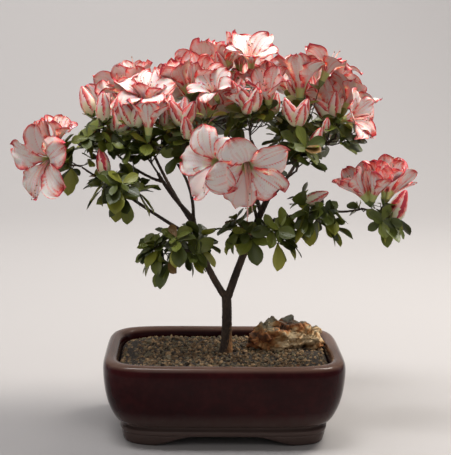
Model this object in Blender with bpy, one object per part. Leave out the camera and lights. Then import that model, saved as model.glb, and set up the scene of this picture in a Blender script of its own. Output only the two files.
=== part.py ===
"""Azalea bonsai in bloom, built together with its glazed rectangular pot.

The pot, the four bracket feet, the soil, the stone, the trunk and the boughs are separate solids.
Each mass of leaves and blossom is one solid that grows from the tip of its own bough.
Metres, +Z up. The origin is the middle of the plant's footprint on the surface the pot stands on.
"""
import math
import random

import bmesh
import bpy
import numpy as np
from mathutils import Matrix, Quaternion, Vector
from mathutils.bvhtree import BVHTree

MM = 0.001
GAP = 0.3 * MM
WELD = 0.01 * MM
OBJECT_NAME = "azalea_bonsai"

# ---------------------------------------------------------------- pot, soil and stone
POT_LENGTH = 205 * MM
POT_DEPTH = 145 * MM
POT_CORNER_POWER = 5.5
POT_SEGMENTS = 32
FOOT_HEIGHT = 10.5 * MM
FOOT_WIDTH = 13 * MM
FOOT_TAPER = 1.2 * MM
FOOT_SEGMENTS = 28
# Inset from the widest outline and height, from the wall's foot over the rim to the inner floor.
WALL_PROFILE = (
    (17.0, 10.5), (15.5, 16.0), (18.5, 17.6), (18.0, 20.2), (13.2, 21.6), (8.5, 28.0),
    (4.2, 37.0), (1.5, 47.0), (0.0, 59.0), (0.6, 66.5), (3.2, 70.8), (6.0, 71.7),
    (10.0, 71.0), (12.5, 68.0), (13.4, 60.0), (22.0, 24.0), (30.0, 18.0),
)
# Width of the gap between two feet, where they stand and at its flat top.
ARCH_LONG = (114 * MM, 84 * MM)
ARCH_SHORT = (72 * MM, 46 * MM)
SOIL_TOP = 65.5 * MM
SOIL_EDGE_DROP = 2.5 * MM
STONE_LUMPS = (
    ((45, 15, 76), (23, 15, 15), 9),
    ((62, 20, 76), (20, 13, 13), 5),
    ((79, 18, 72), (11, 10, 9), 2),
)
STONE_ROUGHNESS = 0.13

# ---------------------------------------------------------------- trunk and boughs
# Name, parent, how far along the parent it starts, tip, bow at mid length (mm),
# radius where it starts and at its tip (mm).
TRUNK_FOOT = (2, 0, 65.8)
LIMBS = (
    ("trunk", None, 0.0, (2, 0, 116), (0.6, 0, 0), 4.6, 4.1),
    ("bough_left", "trunk", 0.94, (-28, 6, 184), (-5, 1, 0), 3.1, 2.5),
    ("bough_right", "trunk", 0.92, (39, -4, 210), (-2, -1, -1), 3.6, 2.6),
    ("bough_left_upper", "bough_left", 0.98, (-58, 9, 221), (-2, 0, 0), 2.2, 1.5),
    ("bough_left_outer", "bough_left_upper", 0.80, (-92, 2, 237), (0, 0, -3), 1.4, 1.0),
    ("bough_left_inner", "bough_left", 0.95, (-41, -8, 231), (4, -3, 2), 1.6, 1.1),
    ("bough_left_long", "bough_left", 0.72, (-100, -8, 216), (2, 0, -3), 1.7, 1.2),
    ("bough_left_tip", "bough_left_long", 0.97, (-121, -11, 228), (0, 0, -1), 1.1, 0.9),
    ("bough_left_mid", "bough_left_long", 0.56, (-72, -15, 205), (0, 0, -1), 1.0, 0.8),
    ("bough_low_left", "bough_left", 0.42, (-30, -5, 156), (0, -1, 2), 1.2, 0.9),
    ("bough_back_left", "bough_left", 0.90, (-62, 44, 232), (0, 4, -4), 2.0, 1.3),
    ("bough_right_upper", "bough_right", 0.98, (53, 2, 240), (1, 1, 0), 2.3, 1.6),
    ("bough_centre", "bough_right", 0.86, (21, 2, 251), (5, 3, -2), 1.9, 1.2),
    ("bough_right_outer", "bough_right_upper", 0.72, (81, -2, 247), (2, 0, -3), 1.5, 1.1),
    ("bough_front", "bough_right", 0.70, (16, -30, 214), (3, -3, -3), 1.6, 1.1),
    ("bough_right_mid", "bough_right_upper", 0.20, (58, -12, 226), (0, -1, -1), 1.2, 0.9),
    ("bough_low_centre", "bough_right", 0.42, (25, -13, 165), (0, -1, 0), 1.1, 0.9),
    ("bough_right_low", "bough_right", 0.68, (92, -15, 193), (0, -1, 3), 1.8, 1.2),
    ("bough_right_tip", "bough_right_low", 0.97, (114, -15, 195), (0, 0, -1), 1.1, 0.95),
    ("bough_right_leafy", "bough_right_low", 0.42, (63, -20, 192), (0, -1, 0), 1.0, 0.85),
    ("bough_back", "bough_right", 0.80, (6, 48, 244), (3, 6, -4), 2.0, 1.3),
    ("bough_back_right", "bough_right", 0.90, (68, 44, 236), (2, 5, -3), 1.9, 1.3),
    ("bough_back_low", "bough_back", 0.45, (24, 40, 206), (1, 2, -1), 1.1, 0.9),
)
LIMB_STEPS = 5
ROOT_FLARE = 1.5 * MM
ROOT_FLARE_HEIGHT = 5 * MM

# ---------------------------------------------------------------- masses of leaves and blossom
# Name, bough, centre and half sizes (mm), number of leafy tips.
MASSES = (
    ("mass_left_tip", "bough_left_tip", (-130, -13, 234), (24, 20, 20), 4),
    ("mass_left_mid", "bough_left_mid", (-92, -17, 214), (28, 22, 24), 8),
    ("mass_low_left", "bough_low_left", (-44, -5, 163), (38, 26, 26), 9),
    ("mass_far_left", "bough_left_outer", (-107, 2, 252), (22, 24, 22), 6),
    ("mass_left", "bough_left_upper", (-72, -4, 250), (26, 28, 26), 7),
    ("mass_mid_left", "bough_left_inner", (-30, -8, 252), (24, 26, 26), 7),
    ("mass_top", "bough_centre", (20, -2, 270), (26, 26, 26), 6),
    ("mass_right", "bough_right_upper", (60, -2, 259), (22, 26, 26), 7),
    ("mass_far_right", "bough_right_outer", (93, -4, 259), (22, 24, 22), 6),
    ("mass_front", "bough_front", (4, -38, 228), (32, 22, 26), 5),
    ("mass_right_mid", "bough_right_mid", (58, -22, 244), (20, 18, 20), 7),
    ("mass_low_centre", "bough_low_centre", (30, -18, 179), (37, 22, 22), 8),
    ("mass_right_low", "bough_right_leafy", (80, -17, 194), (29, 20, 24), 8),
    ("mass_right_tip", "bough_right_tip", (133, -13, 194), (26, 20, 20), 4),
    ("mass_back_left", "bough_back_left", (-72, 66, 260), (36, 34, 34), 7),
    ("mass_back", "bough_back", (-2, 84, 274), (36, 34, 34), 7),
    ("mass_back_right", "bough_back_right", (74, 72, 264), (36, 34, 34), 7),
    ("mass_back_low", "bough_back_low", (16, 62, 214), (36, 28, 24), 8),
)
# Mass, foot of the cluster (mm), the way it faces (degrees round from +X, degrees up),
# its flowers (O open, H half open, B bud), the turn of the ring of flowers and its size.
TRUSSES = (
    ("mass_left_tip", (-142, -14, 238), -148, -6, "O", 20, 1.05),
    ("mass_left_tip", (-143, -6, 243), 150, 78, "HHB", 200, 0.80),
    ("mass_left_mid", (-101, -15, 221), 180, 82, "B", 0, 1.05),
    ("mass_far_left", (-112, 2, 270), 180, 64, "B", 0, 1.15),
    ("mass_far_left", (-103, -8, 266), -110, 84, "B", 0, 1.1),
    ("mass_left", (-76, -14, 263), -100, 84, "BBB", 185, 1.15),
    ("mass_left", (-80, 12, 277), 170, 64, "O", 10, 0.84),
    ("mass_left", (-67, -4, 275), -95, 60, "O", 40, 0.84),
    ("mass_left", (-53, -12, 263), -60, 75, "B", 0, 0.75),
    ("mass_mid_left", (-30, 8, 285), 80, 88, "HHH", 190, 1.05),
    ("mass_mid_left", (-36, -16, 264), -110, 82, "BBB", 200, 1.10),
    ("mass_mid_left", (-7, -14, 283), -125, 52, "O", 0, 0.80),
    ("mass_top", (20, 2, 311), -95, 76, "O", 15, 0.95),
    ("mass_top", (20, -24, 278), -90, 80, "BBB", 180, 1.05),
    ("mass_top", (35, -9, 279), -120, 82, "HH", 80, 1.00),
    ("mass_top", (30, 10, 296), 60, 66, "HB", 90, 0.90),
    ("mass_right", (61, -2, 281), 60, 86, "H", 0, 1.2),
    ("mass_right", (78, 0, 297), 10, 66, "O", 30, 0.95),
    ("mass_right", (58, -22, 266), -95, 80, "BBB", 170, 1.05),
    ("mass_far_right", (98, 12, 271), 25, 58, "O", 10, 0.95),
    ("mass_far_right", (92, -8, 268), -35, 16, "O", 40, 0.95),
    ("mass_front", (8, -46, 242), -84, -22, "O", 8, 1.08),
    ("mass_front", (-1, -41, 240), -128, 4, "O", 30, 1.06),
    ("mass_right_mid", (70, -20, 246), 30, 60, "B", 0, 0.9),
    ("mass_right_low", (66, -18, 201), 0, 24, "B", 0, 0.95),
    ("mass_right_tip", (122, -14, 199), 160, 78, "HHB", 190, 0.95),
    ("mass_right_tip", (129, -9, 206), 15, 52, "O", 15, 0.92),
    ("mass_right_tip", (145, -12, 184), 10, 48, "B", 0, 1.15),
    ("mass_back_left", (-90, 78, 274), 140, 40, "OBB", 30, 0.95),
    ("mass_back_left", (-60, 84, 276), 75, 46, "OH", 120, 0.95),
    ("mass_back", (-24, 100, 294), 110, 40, "OBB", 0, 0.95),
    ("mass_back", (14, 96, 300), 70, 55, "OH", 60, 0.95),
    ("mass_back", (-2, 74, 306), -90, 84, "HBB", 0, 0.95),
    ("mass_back_right", (92, 80, 286), 35, 42, "OBB", 90, 0.95),
    ("mass_back_right", (62, 92, 282), 95, 46, "OH", 30, 0.95),
    ("mass_back_low", (10, 84, 212), 90, 14, "BB", 20, 1.0),
)
MASS_GAP = 0.35 * MM
LIMB_CLEARANCE = 0.2 * MM
LEAF_LENGTH = 21 * MM
LEAF_WIDTH = 0.46
LEAF_WIDEST = 0.55
LEAF_DROOP = 0.08
LIGHT_PULL = 0.7
WHORL_HUB = 1.0 * MM
WHORL_HALF_THICKNESS = 0.6 * MM
TWIG_RADIUS = 0.62 * MM
TWIG_TIP_RADIUS = 0.42 * MM
STEM_RADIUS = 0.95 * MM
TWIG_STEPS = 2
STEM_STEPS = 2
LEAF_BAND = (-0.85, 0.35)
TRUSS_SPREAD = 30
TRUSS_LEAVES_BELOW = 4 * MM
WHORL_SUNK = 0.5 * MM
FLOWER_SUNK = 1.2 * MM
TWIG_TRIES = 4
GOLDEN_ANGLE = math.pi * (3 - math.sqrt(5))
FLOWER_SIZES = (1.0, 0.9, 0.8, 0.7)

# Radius and height of each ring (mm) from the flower's foot: outside, then inside.
OPEN_LOBE = ((0.0, 16.5, 23.0), (0.28, 29.0, 26.0), (0.5, 32.0, 25.0), (0.72, 29.0, 26.0))
HALF_OPEN_LOBE = ((0.0, 9.5, 26.0), (0.5, 12.5, 37.0))
TUBE_RINGS = ((1.1, 0.0), (2.3, 4.5), (4.0, 14.0))
THROAT_RING = (2.2, 15.0)
TUBE_TURN = 0.46
BUD_LENGTH = 24 * MM
BUD_RADIUS = 5.2 * MM

COLOURS = {
    "pot": ((0.055, 0.010, 0.012), 0.18),
    "soil": ((0.16, 0.11, 0.07), 0.95),
    "stone": ((0.42, 0.27, 0.16), 0.85),
    "bark": ((0.08, 0.05, 0.035), 0.85),
    "leaf": ((0.06, 0.12, 0.03), 0.55),
    "blossom": ((0.82, 0.45, 0.42), 0.6),
}


# ---------------------------------------------------------------- scene helpers
def clear_scene():
    for old in list(bpy.data.objects):
        bpy.data.objects.remove(old, do_unlink=True)


def new_collection(name):
    collection = bpy.data.collections.new(name)
    bpy.context.scene.collection.children.link(collection)
    return collection


def material(name, finish):
    colour, roughness = COLOURS[finish]
    made = bpy.data.materials.new(name)
    made.use_nodes = True
    shader = made.node_tree.nodes["Principled BSDF"]
    shader.inputs["Base Color"].default_value = (*colour, 1.0)
    shader.inputs["Roughness"].default_value = roughness
    return made


def add_object(name, bm, collection, finish=None):
    """Turn a bmesh into an object of the collection."""
    bmesh.ops.recalc_face_normals(bm, faces=bm.faces)
    mesh = bpy.data.meshes.new(name)
    bm.to_mesh(mesh)
    bm.free()
    made = bpy.data.objects.new(name, mesh)
    collection.objects.link(made)
    if finish:
        mesh.materials.append(material(name, finish))
    return made


def add_boolean(target, operation, solver="EXACT", cutter=None, cutters=None):
    """Put a live Boolean on the target, with one cutter or a whole collection of them."""
    modifier = target.modifiers.new(operation.title(), "BOOLEAN")
    modifier.operation = operation
    modifier.solver = solver
    if cutters:
        modifier.operand_type = "COLLECTION"
        modifier.collection = cutters
    else:
        modifier.object = cutter
    return modifier


def apply_modifiers(target):
    """Replace the target's mesh by what its modifiers make of it."""
    graph = bpy.context.evaluated_depsgraph_get()
    graph.update()
    mesh = bpy.data.meshes.new_from_object(target.evaluated_get(graph))
    target.modifiers.clear()
    target.data = mesh


def remove_objects(objects):
    for old in list(objects):
        bpy.data.objects.remove(old, do_unlink=True)


def shells(bm):
    """The separate closed skins of a bmesh, as lists of faces."""
    waiting = set(bm.faces)
    found = []
    while waiting:
        stack = [waiting.pop()]
        shell = []
        while stack:
            face = stack.pop()
            shell.append(face)
            for edge in face.edges:
                for other in edge.link_faces:
                    if other in waiting:
                        waiting.remove(other)
                        stack.append(other)
        found.append(shell)
    return found


def shell_volume(faces):
    """Signed volume inside a closed skin; a sealed hollow's skin counts below zero."""
    total = 0.0
    for face in faces:
        first = face.verts[0].co
        for second, third in zip(face.verts[1:], face.verts[2:]):
            total += first.dot(second.co.cross(third.co)) / 6
    return total


def is_closed(bm):
    return all(len(edge.link_faces) == 2 for edge in bm.edges)


def weld_corners(bm):
    bmesh.ops.remove_doubles(bm, verts=bm.verts, dist=WELD)


def drop_slivers(bm):
    bmesh.ops.dissolve_degenerate(bm, edges=bm.edges, dist=WELD)
    bmesh.ops.triangulate(bm, faces=bm.faces)


def keep_main_body(target):
    """Keep the largest skin alone: scraps are dropped and sealed hollows are filled."""
    bm = bmesh.new()
    bm.from_mesh(target.data)
    bmesh.ops.triangulate(bm, faces=bm.faces)
    for tidy in (weld_corners, drop_slivers):
        tidied = bm.copy()
        tidy(tidied)
        if is_closed(tidied):
            bm, tidied = tidied, bm
        tidied.free()
    found = shells(bm)
    main = set(max(found, key=shell_volume))
    if len(found) > 1:
        print("dropped from", target.name, sorted(len(shell) for shell in found)[:-1])
    bmesh.ops.delete(bm, geom=[face for face in bm.faces if face not in main], context="FACES")
    loose = [vertex for vertex in bm.verts if not vertex.link_faces]
    bmesh.ops.delete(bm, geom=loose, context="VERTS")
    bm.to_mesh(target.data)
    bm.free()


# ---------------------------------------------------------------- pot, soil and stone
def pot_outline(inset, height, segments=POT_SEGMENTS):
    """A rounded rectangle with gently bowed sides, as one ring of points."""
    half_length = POT_LENGTH / 2 - inset
    half_depth = POT_DEPTH / 2 - inset
    ring = []
    for step in range(segments):
        angle = math.tau * (step + 0.5) / segments
        across = math.copysign(abs(math.cos(angle)) ** (2 / POT_CORNER_POWER), math.cos(angle))
        back = math.copysign(abs(math.sin(angle)) ** (2 / POT_CORNER_POWER), math.sin(angle))
        ring.append(Vector((half_length * across, half_depth * back, height)))
    return ring


def add_ring(bm, points):
    """A loop of edges through the points, made from a circle with as many corners."""
    circle = bmesh.ops.create_circle(bm, segments=len(points), radius=1.0)["verts"]
    for vertex, point in zip(circle, points):
        vertex.co = point
    return list({edge for vertex in circle for edge in vertex.link_edges})


def loft_rings(bm, rings, joined=False):
    """Bridge each ring to the next, then cap the two ends or join the last to the first."""
    loops = [add_ring(bm, points) for points in rings]
    pairs = list(zip(loops, loops[1:]))
    if joined:
        pairs.append((loops[-1], loops[0]))
    for lower, upper in pairs:
        bmesh.ops.bridge_loops(bm, edges=lower + upper)
    if not joined:
        bmesh.ops.holes_fill(bm, edges=bm.edges, sides=0)


def make_pot(collection):
    bm = bmesh.new()
    loft_rings(bm, [pot_outline(inset * MM, height * MM) for inset, height in WALL_PROFILE])
    return add_object("pot", bm, collection, "pot")


def arch_cutter(name, widths, along_y, cutters):
    """A long bar with sloping ends that opens the gap between two feet."""
    bar = POT_LENGTH * 1.2
    bm = bmesh.new()
    bmesh.ops.create_cube(bm, size=1.0)
    for vertex in bm.verts:
        top = vertex.co.z > 0
        width = widths[1] if top else 2 * widths[0] - widths[1]
        vertex.co = Vector((vertex.co.x * width, vertex.co.y * bar, FOOT_HEIGHT if top else -FOOT_HEIGHT))
    if not along_y:
        bmesh.ops.rotate(bm, verts=bm.verts, matrix=Matrix.Rotation(math.pi / 2, 3, "Z"))
    made = add_object(name, bm, cutters)
    made.hide_render = True
    made.display_type = "WIRE"
    return made


def make_feet(collection, cutters):
    """The four bracket feet are what the two arches leave of one ring under the wall."""
    skirt = WALL_PROFILE[0][0] * MM
    top = FOOT_HEIGHT - GAP
    corners = ((skirt + FOOT_TAPER, 0.0), (skirt, top), (skirt + FOOT_WIDTH, top), (skirt + FOOT_WIDTH, 0.0))
    bm = bmesh.new()
    loft_rings(bm, [pot_outline(*corner, FOOT_SEGMENTS) for corner in corners], joined=True)
    ring = add_object("foot_ring", bm, cutters)
    for name, widths, along_y in (("arch_long", ARCH_LONG, True), ("arch_short", ARCH_SHORT, False)):
        add_boolean(ring, "DIFFERENCE", cutter=arch_cutter(name, widths, along_y, cutters))
    apply_modifiers(ring)
    for side, front in ((-1, -1), (1, -1), (-1, 1), (1, 1)):
        bm = bmesh.new()
        bm.from_mesh(ring.data)
        others = [face for face in bm.faces
                  if face.calc_center_median().x * side < 0 or face.calc_center_median().y * front < 0]
        bmesh.ops.delete(bm, geom=others, context="FACES")
        name = "pot_foot_{}_{}".format("front" if front < 0 else "back", "left" if side < 0 else "right")
        add_object(name, bm, collection, "pot")
    remove_objects([ring])


def make_soil(collection):
    """The soil fills the pot just inside its wall and falls a little towards the rim."""
    inner = WALL_PROFILE[-4:]
    floor_inset, floor_height = inner[-1]
    rings = [pot_outline((floor_inset + 0.3) * MM, (floor_height + 0.3) * MM)]
    for inset, height in reversed(inner[1:-1]):
        rings.append(pot_outline((inset + 0.5) * MM, (height + 0.2) * MM))
    rings.append(pot_outline((inner[1][0] + 0.3) * MM, SOIL_TOP - SOIL_EDGE_DROP))
    rings.append(pot_outline(POT_DEPTH * 0.16, SOIL_TOP))
    bm = bmesh.new()
    loft_rings(bm, rings)
    return add_object("soil", bm, collection, "soil")


def make_stone(collection, cutters):
    """Three weathered lumps, fused and cut flat where they lie on the soil."""
    lumps = []
    for centre, half_sizes, seed in STONE_LUMPS:
        rng = random.Random(seed)
        bm = bmesh.new()
        bmesh.ops.create_icosphere(bm, subdivisions=2, radius=1.0)
        for vertex in bm.verts:
            swell = 1 + rng.uniform(-STONE_ROUGHNESS, STONE_ROUGHNESS)
            vertex.co = Vector([(c + h * v * swell) * MM for c, h, v in zip(centre, half_sizes, vertex.co)])
        lumps.append(add_object("stone_lump", bm, cutters))
    stone, *others = lumps
    for lump in others:
        add_boolean(stone, "UNION", cutter=lump)
    apply_modifiers(stone)
    remove_objects(others)
    bm = bmesh.new()
    bm.from_mesh(stone.data)
    geometry = bm.verts[:] + bm.edges[:] + bm.faces[:]
    bmesh.ops.bisect_plane(bm, geom=geometry, plane_co=(0, 0, SOIL_TOP + GAP), plane_no=(0, 0, -1),
                           clear_outer=True)
    bmesh.ops.holes_fill(bm, edges=bm.edges, sides=0)
    made = add_object("stone", bm, collection, "stone")
    remove_objects([stone])
    keep_main_body(made)
    return made


# ---------------------------------------------------------------- limbs
def bowed_path(start, tip, bow, steps):
    """Points on a line from start to tip that bends by the bow at mid length."""
    return [start.lerp(tip, step / steps) + bow * (4 * step / steps * (1 - step / steps))
            for step in range(steps + 1)]


def point_along(points, share):
    """The point that lies at a share of the way along the points."""
    place = min(max(share, 0.0), 1.0) * (len(points) - 1)
    first = min(int(place), len(points) - 2)
    return points[first].lerp(points[first + 1], place - first)


def skeleton():
    """Centre line and radii of every limb, each starting inside its parent."""
    limbs = {}
    for name, parent, along, tip, bow, start_radius, tip_radius in LIMBS:
        start = point_along(limbs[parent][0], along) if parent else Vector(TRUNK_FOOT) * MM
        points = bowed_path(start, Vector(tip) * MM, Vector(bow) * MM, LIMB_STEPS)
        radii = [(start_radius + (tip_radius - start_radius) * step / LIMB_STEPS) * MM
                 for step in range(LIMB_STEPS + 1)]
        if parent is None:
            radii = [radius + ROOT_FLARE * math.exp(-(point.z - start.z) / ROOT_FLARE_HEIGHT)
                     for point, radius in zip(points, radii)]
        limbs[name] = (points, radii)
    return limbs


def make_tube(name, points, radii, collection, finish=None):
    """A tapering limb: a curve with a bevel, then a mesh whose caps are welded on."""
    curve = bpy.data.curves.new(name, "CURVE")
    curve.dimensions = "3D"
    curve.bevel_depth = MM
    curve.bevel_resolution = 1
    curve.use_fill_caps = True
    spline = curve.splines.new("POLY")
    spline.points.add(len(points) - 1)
    for control, point, radius in zip(spline.points, points, radii):
        control.co = (*point, 1.0)
        control.radius = radius / MM
    guide = bpy.data.objects.new(name, curve)
    collection.objects.link(guide)
    graph = bpy.context.evaluated_depsgraph_get()
    graph.update()
    mesh = bpy.data.meshes.new_from_object(guide.evaluated_get(graph))
    place = guide.matrix_world.copy()
    bpy.data.objects.remove(guide, do_unlink=True)
    bm = bmesh.new()
    bm.from_mesh(mesh)
    bmesh.ops.remove_doubles(bm, verts=bm.verts, dist=0.01 * MM)
    made = add_object(name, bm, collection, finish)
    made.matrix_world = place
    return made


def swollen_tube(name, points, radii, extra, collection):
    """The same limb, thicker and longer by a clearance, as a cutter or a keep-out space."""
    longer = list(points)
    longer[-1] = points[-1] + (points[-1] - points[-2]).normalized() * extra
    fatter = [radius + extra / math.cos(math.pi / 6) for radius in radii]
    made = make_tube(name, longer, fatter, collection)
    made.hide_render = True
    made.display_type = "WIRE"
    return made


def object_tree(target):
    bm = bmesh.new()
    bm.from_mesh(target.data)
    tree = BVHTree.FromBMesh(bm)
    bm.free()
    return tree


def make_limbs(limbs, collection, cutters):
    """Each limb is cut clear of every earlier limb that it starts in or crosses."""
    earlier = []
    for name, (points, radii) in limbs.items():
        limb = make_tube(name, points, radii, collection, "bark")
        if not earlier:
            level_foot(limb)
        tree = object_tree(limb)
        for cutter, cutter_tree in earlier:
            if tree.overlap(cutter_tree):
                add_boolean(limb, "DIFFERENCE", cutter=cutter)
        if limb.modifiers:
            apply_modifiers(limb)
            keep_main_body(limb)
        swollen = swollen_tube(name + "_cutter", points, radii, GAP, cutters)
        earlier.append((swollen, object_tree(swollen)))
    remove_objects([cutter for cutter, _ in earlier])


def level_foot(trunk):
    """The trunk's lowest ring is cut flat where it meets the soil."""
    level = TRUNK_FOOT[2] * MM
    for vertex in trunk.data.vertices:
        if vertex.co.z < level + 0.5 * MM:
            vertex.co.z = level


# ---------------------------------------------------------------- leaves, twigs and flowers
def bud_shape(bm):
    """A pointed spindle along +Z, one long and one wide, fattest below its middle."""
    corners = bmesh.ops.create_uvsphere(bm, u_segments=5, v_segments=3, radius=1.0)["verts"]
    for vertex in corners:
        height = (vertex.co.z + 1) / 2
        swell = 1.3 - 0.5 * height
        vertex.co = Vector((vertex.co.x * swell, vertex.co.y * swell, height))


def lobed_ring(lobe, scale):
    """One ring round a flower: the outline of a petal, repeated five times."""
    ring = []
    for petal in range(5):
        for share, radius, height in lobe:
            angle = math.tau * (petal + share) / 5
            ring.append(Vector((radius * math.cos(angle), radius * math.sin(angle), height)) * scale)
    return ring


def nearest_corner(point, centre, few, few_centre):
    """The corner of the smaller ring that faces the same way from its centre as the point."""
    way = point - centre
    return max(range(len(few)), key=lambda place: way.dot((few[place].co - few_centre).normalized()))


def loft_unlike(bm, rings):
    """A closed skin through rings that may differ in their number of points."""
    loops = [[bm.verts.new(point) for point in ring] for ring in rings]
    centres = [sum(ring, Vector()) / len(ring) for ring in rings]
    for place in range(len(loops) - 1):
        few, many = loops[place:place + 2]
        few_centre, centre = centres[place:place + 2]
        if len(few) > len(many):
            few, many, few_centre, centre = many, few, centre, few_centre
        if len(few) == len(many):
            nearest = list(range(len(few)))
        else:
            centre = few_centre if len(few) > 1 else centre
            nearest = [nearest_corner(corner.co, centre, few, few_centre) for corner in many]
        for step, corner in enumerate(many):
            following = many[(step + 1) % len(many)]
            near = nearest[step]
            bm.faces.new((few[near], corner, following))
            while near != nearest[(step + 1) % len(many)]:
                after = (near + 1) % len(few)
                bm.faces.new((few[near], following, few[after]))
                near = after
    for end in (loops[0], loops[-1]):
        if len(end) > 2:
            bm.faces.new(end)


def flower_shape(bm, lobe):
    """A tube that widens into five joined lobes, hollow down to its throat."""
    tube = [[(TUBE_TURN, radius, height)] for radius, height in TUBE_RINGS]
    rings = [lobed_ring(outline, MM) for outline in (*tube, lobe)]
    throat_radius, throat_height = THROAT_RING
    rings.append(lobed_ring([(TUBE_TURN, throat_radius, throat_height)], MM))
    loft_unlike(bm, rings)


def facing(direction, spin):
    """A turn that points +Z along the direction, spun about it."""
    return Vector((0, 0, 1)).rotation_difference(direction) @ Quaternion((0, 0, 1), spin)


def heading(round_degrees, up_degrees):
    turn = math.radians(round_degrees)
    rise = math.radians(up_degrees)
    return Vector((math.cos(rise) * math.cos(turn), math.cos(rise) * math.sin(turn), math.sin(rise)))


def whorl_rim(foot, axis, leaves):
    """The outline of a whorl: each leaf's sides and tip, with notches up to the next leaf.

    Each leaf is its turn about the axis, its tilt from it and its length.
    """
    rim = []
    for place, (spin, tilt, length) in enumerate(leaves):
        out = facing(axis, spin) @ Vector((math.sin(tilt), 0, math.cos(tilt)))
        side = axis.cross(out).normalized() * (length * LEAF_WIDTH / 2)
        widest = foot + out * (length * LEAF_WIDEST)
        tip = foot + (out - axis * LEAF_DROOP) * length
        rim += [widest - side, tip, widest + side]
        following = leaves[place + 1][0] if place + 1 < len(leaves) else leaves[0][0] + math.tau
        notches = max(1, round((following - spin) / math.tau * 5))
        for notch in range(notches):
            turn = spin + (following - spin) * (notch + 1) / (notches + 1)
            rim.append(foot + facing(axis, turn) @ Vector((WHORL_HUB, 0, 0)))
    return rim


def leaf_bmesh(foot, axis, leaf):
    """One leaf of a whorl by itself, to try whether there is room for it."""
    bm = bmesh.new()
    thick = axis * WHORL_HALF_THICKNESS
    loft_unlike(bm, [[foot - thick], whorl_rim(foot, axis, [leaf]), [foot + thick]])
    return bm


def flower_bmesh(flower):
    kind, foot, direction, spin, size = flower
    bm = bmesh.new()
    if kind == "B":
        bud_shape(bm)
        bmesh.ops.scale(bm, vec=(BUD_RADIUS, BUD_RADIUS, BUD_LENGTH), verts=bm.verts)
    else:
        flower_shape(bm, OPEN_LOBE if kind == "O" else HALF_OPEN_LOBE)
    turn = facing(direction, spin)
    for vertex in bm.verts:
        vertex.co = foot + turn @ (vertex.co * size)
    return bm


def triangle_ring(centre, direction, radius):
    turn = facing(direction, 0.0)
    return [centre + turn @ Vector((math.cos(corner), math.sin(corner), 0)) * radius
            for corner in (0, math.tau / 3, 2 * math.tau / 3)]


def twig_bmesh(twig):
    """A three-sided tapering twig, with its whorl of leaves grown out of it.

    The blades are thin at their rims and run into the twig, so twig and leaves are one skin.
    """
    points, radii, whorl = twig
    ways = [(after - before).normalized() for before, after in zip(points, points[1:])]
    ways.append(ways[-1])
    rings = [triangle_ring(*ring) for ring in zip(points, ways, radii)]
    if whorl:
        foot, axis, leaves = whorl
        thick = axis * WHORL_HALF_THICKNESS
        tip = rings.pop()
        rings.append(triangle_ring(foot - thick, axis, radii[-1]))
        rings.append(whorl_rim(foot, axis, leaves))
        if (points[-1] - foot).dot(ways[-1]) > 2 * WHORL_HALF_THICKNESS:
            rings += [triangle_ring(foot + thick, axis, radii[-1]), tip]
        else:
            rings.append([foot + thick])
    bm = bmesh.new()
    loft_unlike(bm, rings)
    return bm


# ---------------------------------------------------------------- the growing rule
def crosses_itself(bm):
    """Whether two faces that share no corner meet."""
    bmesh.ops.triangulate(bm, faces=bm.faces)
    bm.faces.ensure_lookup_table()
    tree = BVHTree.FromBMesh(bm)
    return any(not set(bm.faces[first].verts) & set(bm.faces[second].verts)
               for first, second in tree.overlap(tree))


def swollen_copy(bm):
    """The same piece, thicker all over by the gap that masses keep between them."""
    swollen = bm.copy()
    swollen.normal_update()
    for vertex, push in [(vertex, vertex.normal.copy()) for vertex in swollen.verts]:
        vertex.co += push * MASS_GAP
    return swollen


class Crown:
    """Keeps account of the room in the crown: what the limbs and each mass already fill."""

    def __init__(self, limb_tree):
        self.limb_tree = limb_tree
        self.centres = np.array([centre for _, _, centre, _, _ in MASSES]) * MM
        self.reaches = np.array([sum(half_sizes) / 3 for _, _, _, half_sizes, _ in MASSES]) * MM
        self.boxes = []
        self.trees = []
        self.owners = []

    def in_own_cell(self, bm, index):
        """Whether a piece lies nearer its own mass's centre than any other, by their reaches."""
        points = np.array([vertex.co for vertex in bm.verts])
        apart = points[:, None, :] - self.centres[None, :, :]
        power = (apart ** 2).sum(axis=2) - self.reaches ** 2
        return bool((power.argmin(axis=1) == index).all())

    def has_room(self, bm, joined):
        """Whether a piece is clear of the limbs and of every piece but those it joins."""
        swollen = swollen_copy(bm)
        tree = BVHTree.FromBMesh(swollen)
        points = np.array([vertex.co for vertex in swollen.verts])
        swollen.free()
        if tree.overlap(self.limb_tree):
            return False
        low, high = points.min(axis=0), points.max(axis=0)
        for place, (other_low, other_high) in enumerate(self.boxes):
            if place in joined or (low > other_high).any() or (high < other_low).any():
                continue
            if tree.overlap(self.trees[place]):
                return False
        return True

    def claim(self, bm, index):
        """Enter a piece of a mass as filled, and give its number."""
        points = np.array([vertex.co for vertex in bm.verts])
        self.boxes.append((points.min(axis=0), points.max(axis=0)))
        self.trees.append(BVHTree.FromBMesh(bm))
        self.owners.append(index)
        return len(self.trees) - 1

    def pieces_of(self, index):
        """The numbers of all the pieces that a mass has so far."""
        return {place for place, owner in enumerate(self.owners) if owner == index}


def whorl_leaves(count, size, rng):
    """Leaves spread evenly round a twig, each with its own tilt and length."""
    start = rng.uniform(0, math.tau)
    leaves = []
    for place in range(count):
        spin = start + (place + rng.uniform(-0.08, 0.08)) * math.tau / count
        tilt = math.radians(rng.uniform(50, 88))
        leaves.append((spin, tilt, LEAF_LENGTH * size * rng.uniform(0.72, 1.12)))
    return leaves


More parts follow.
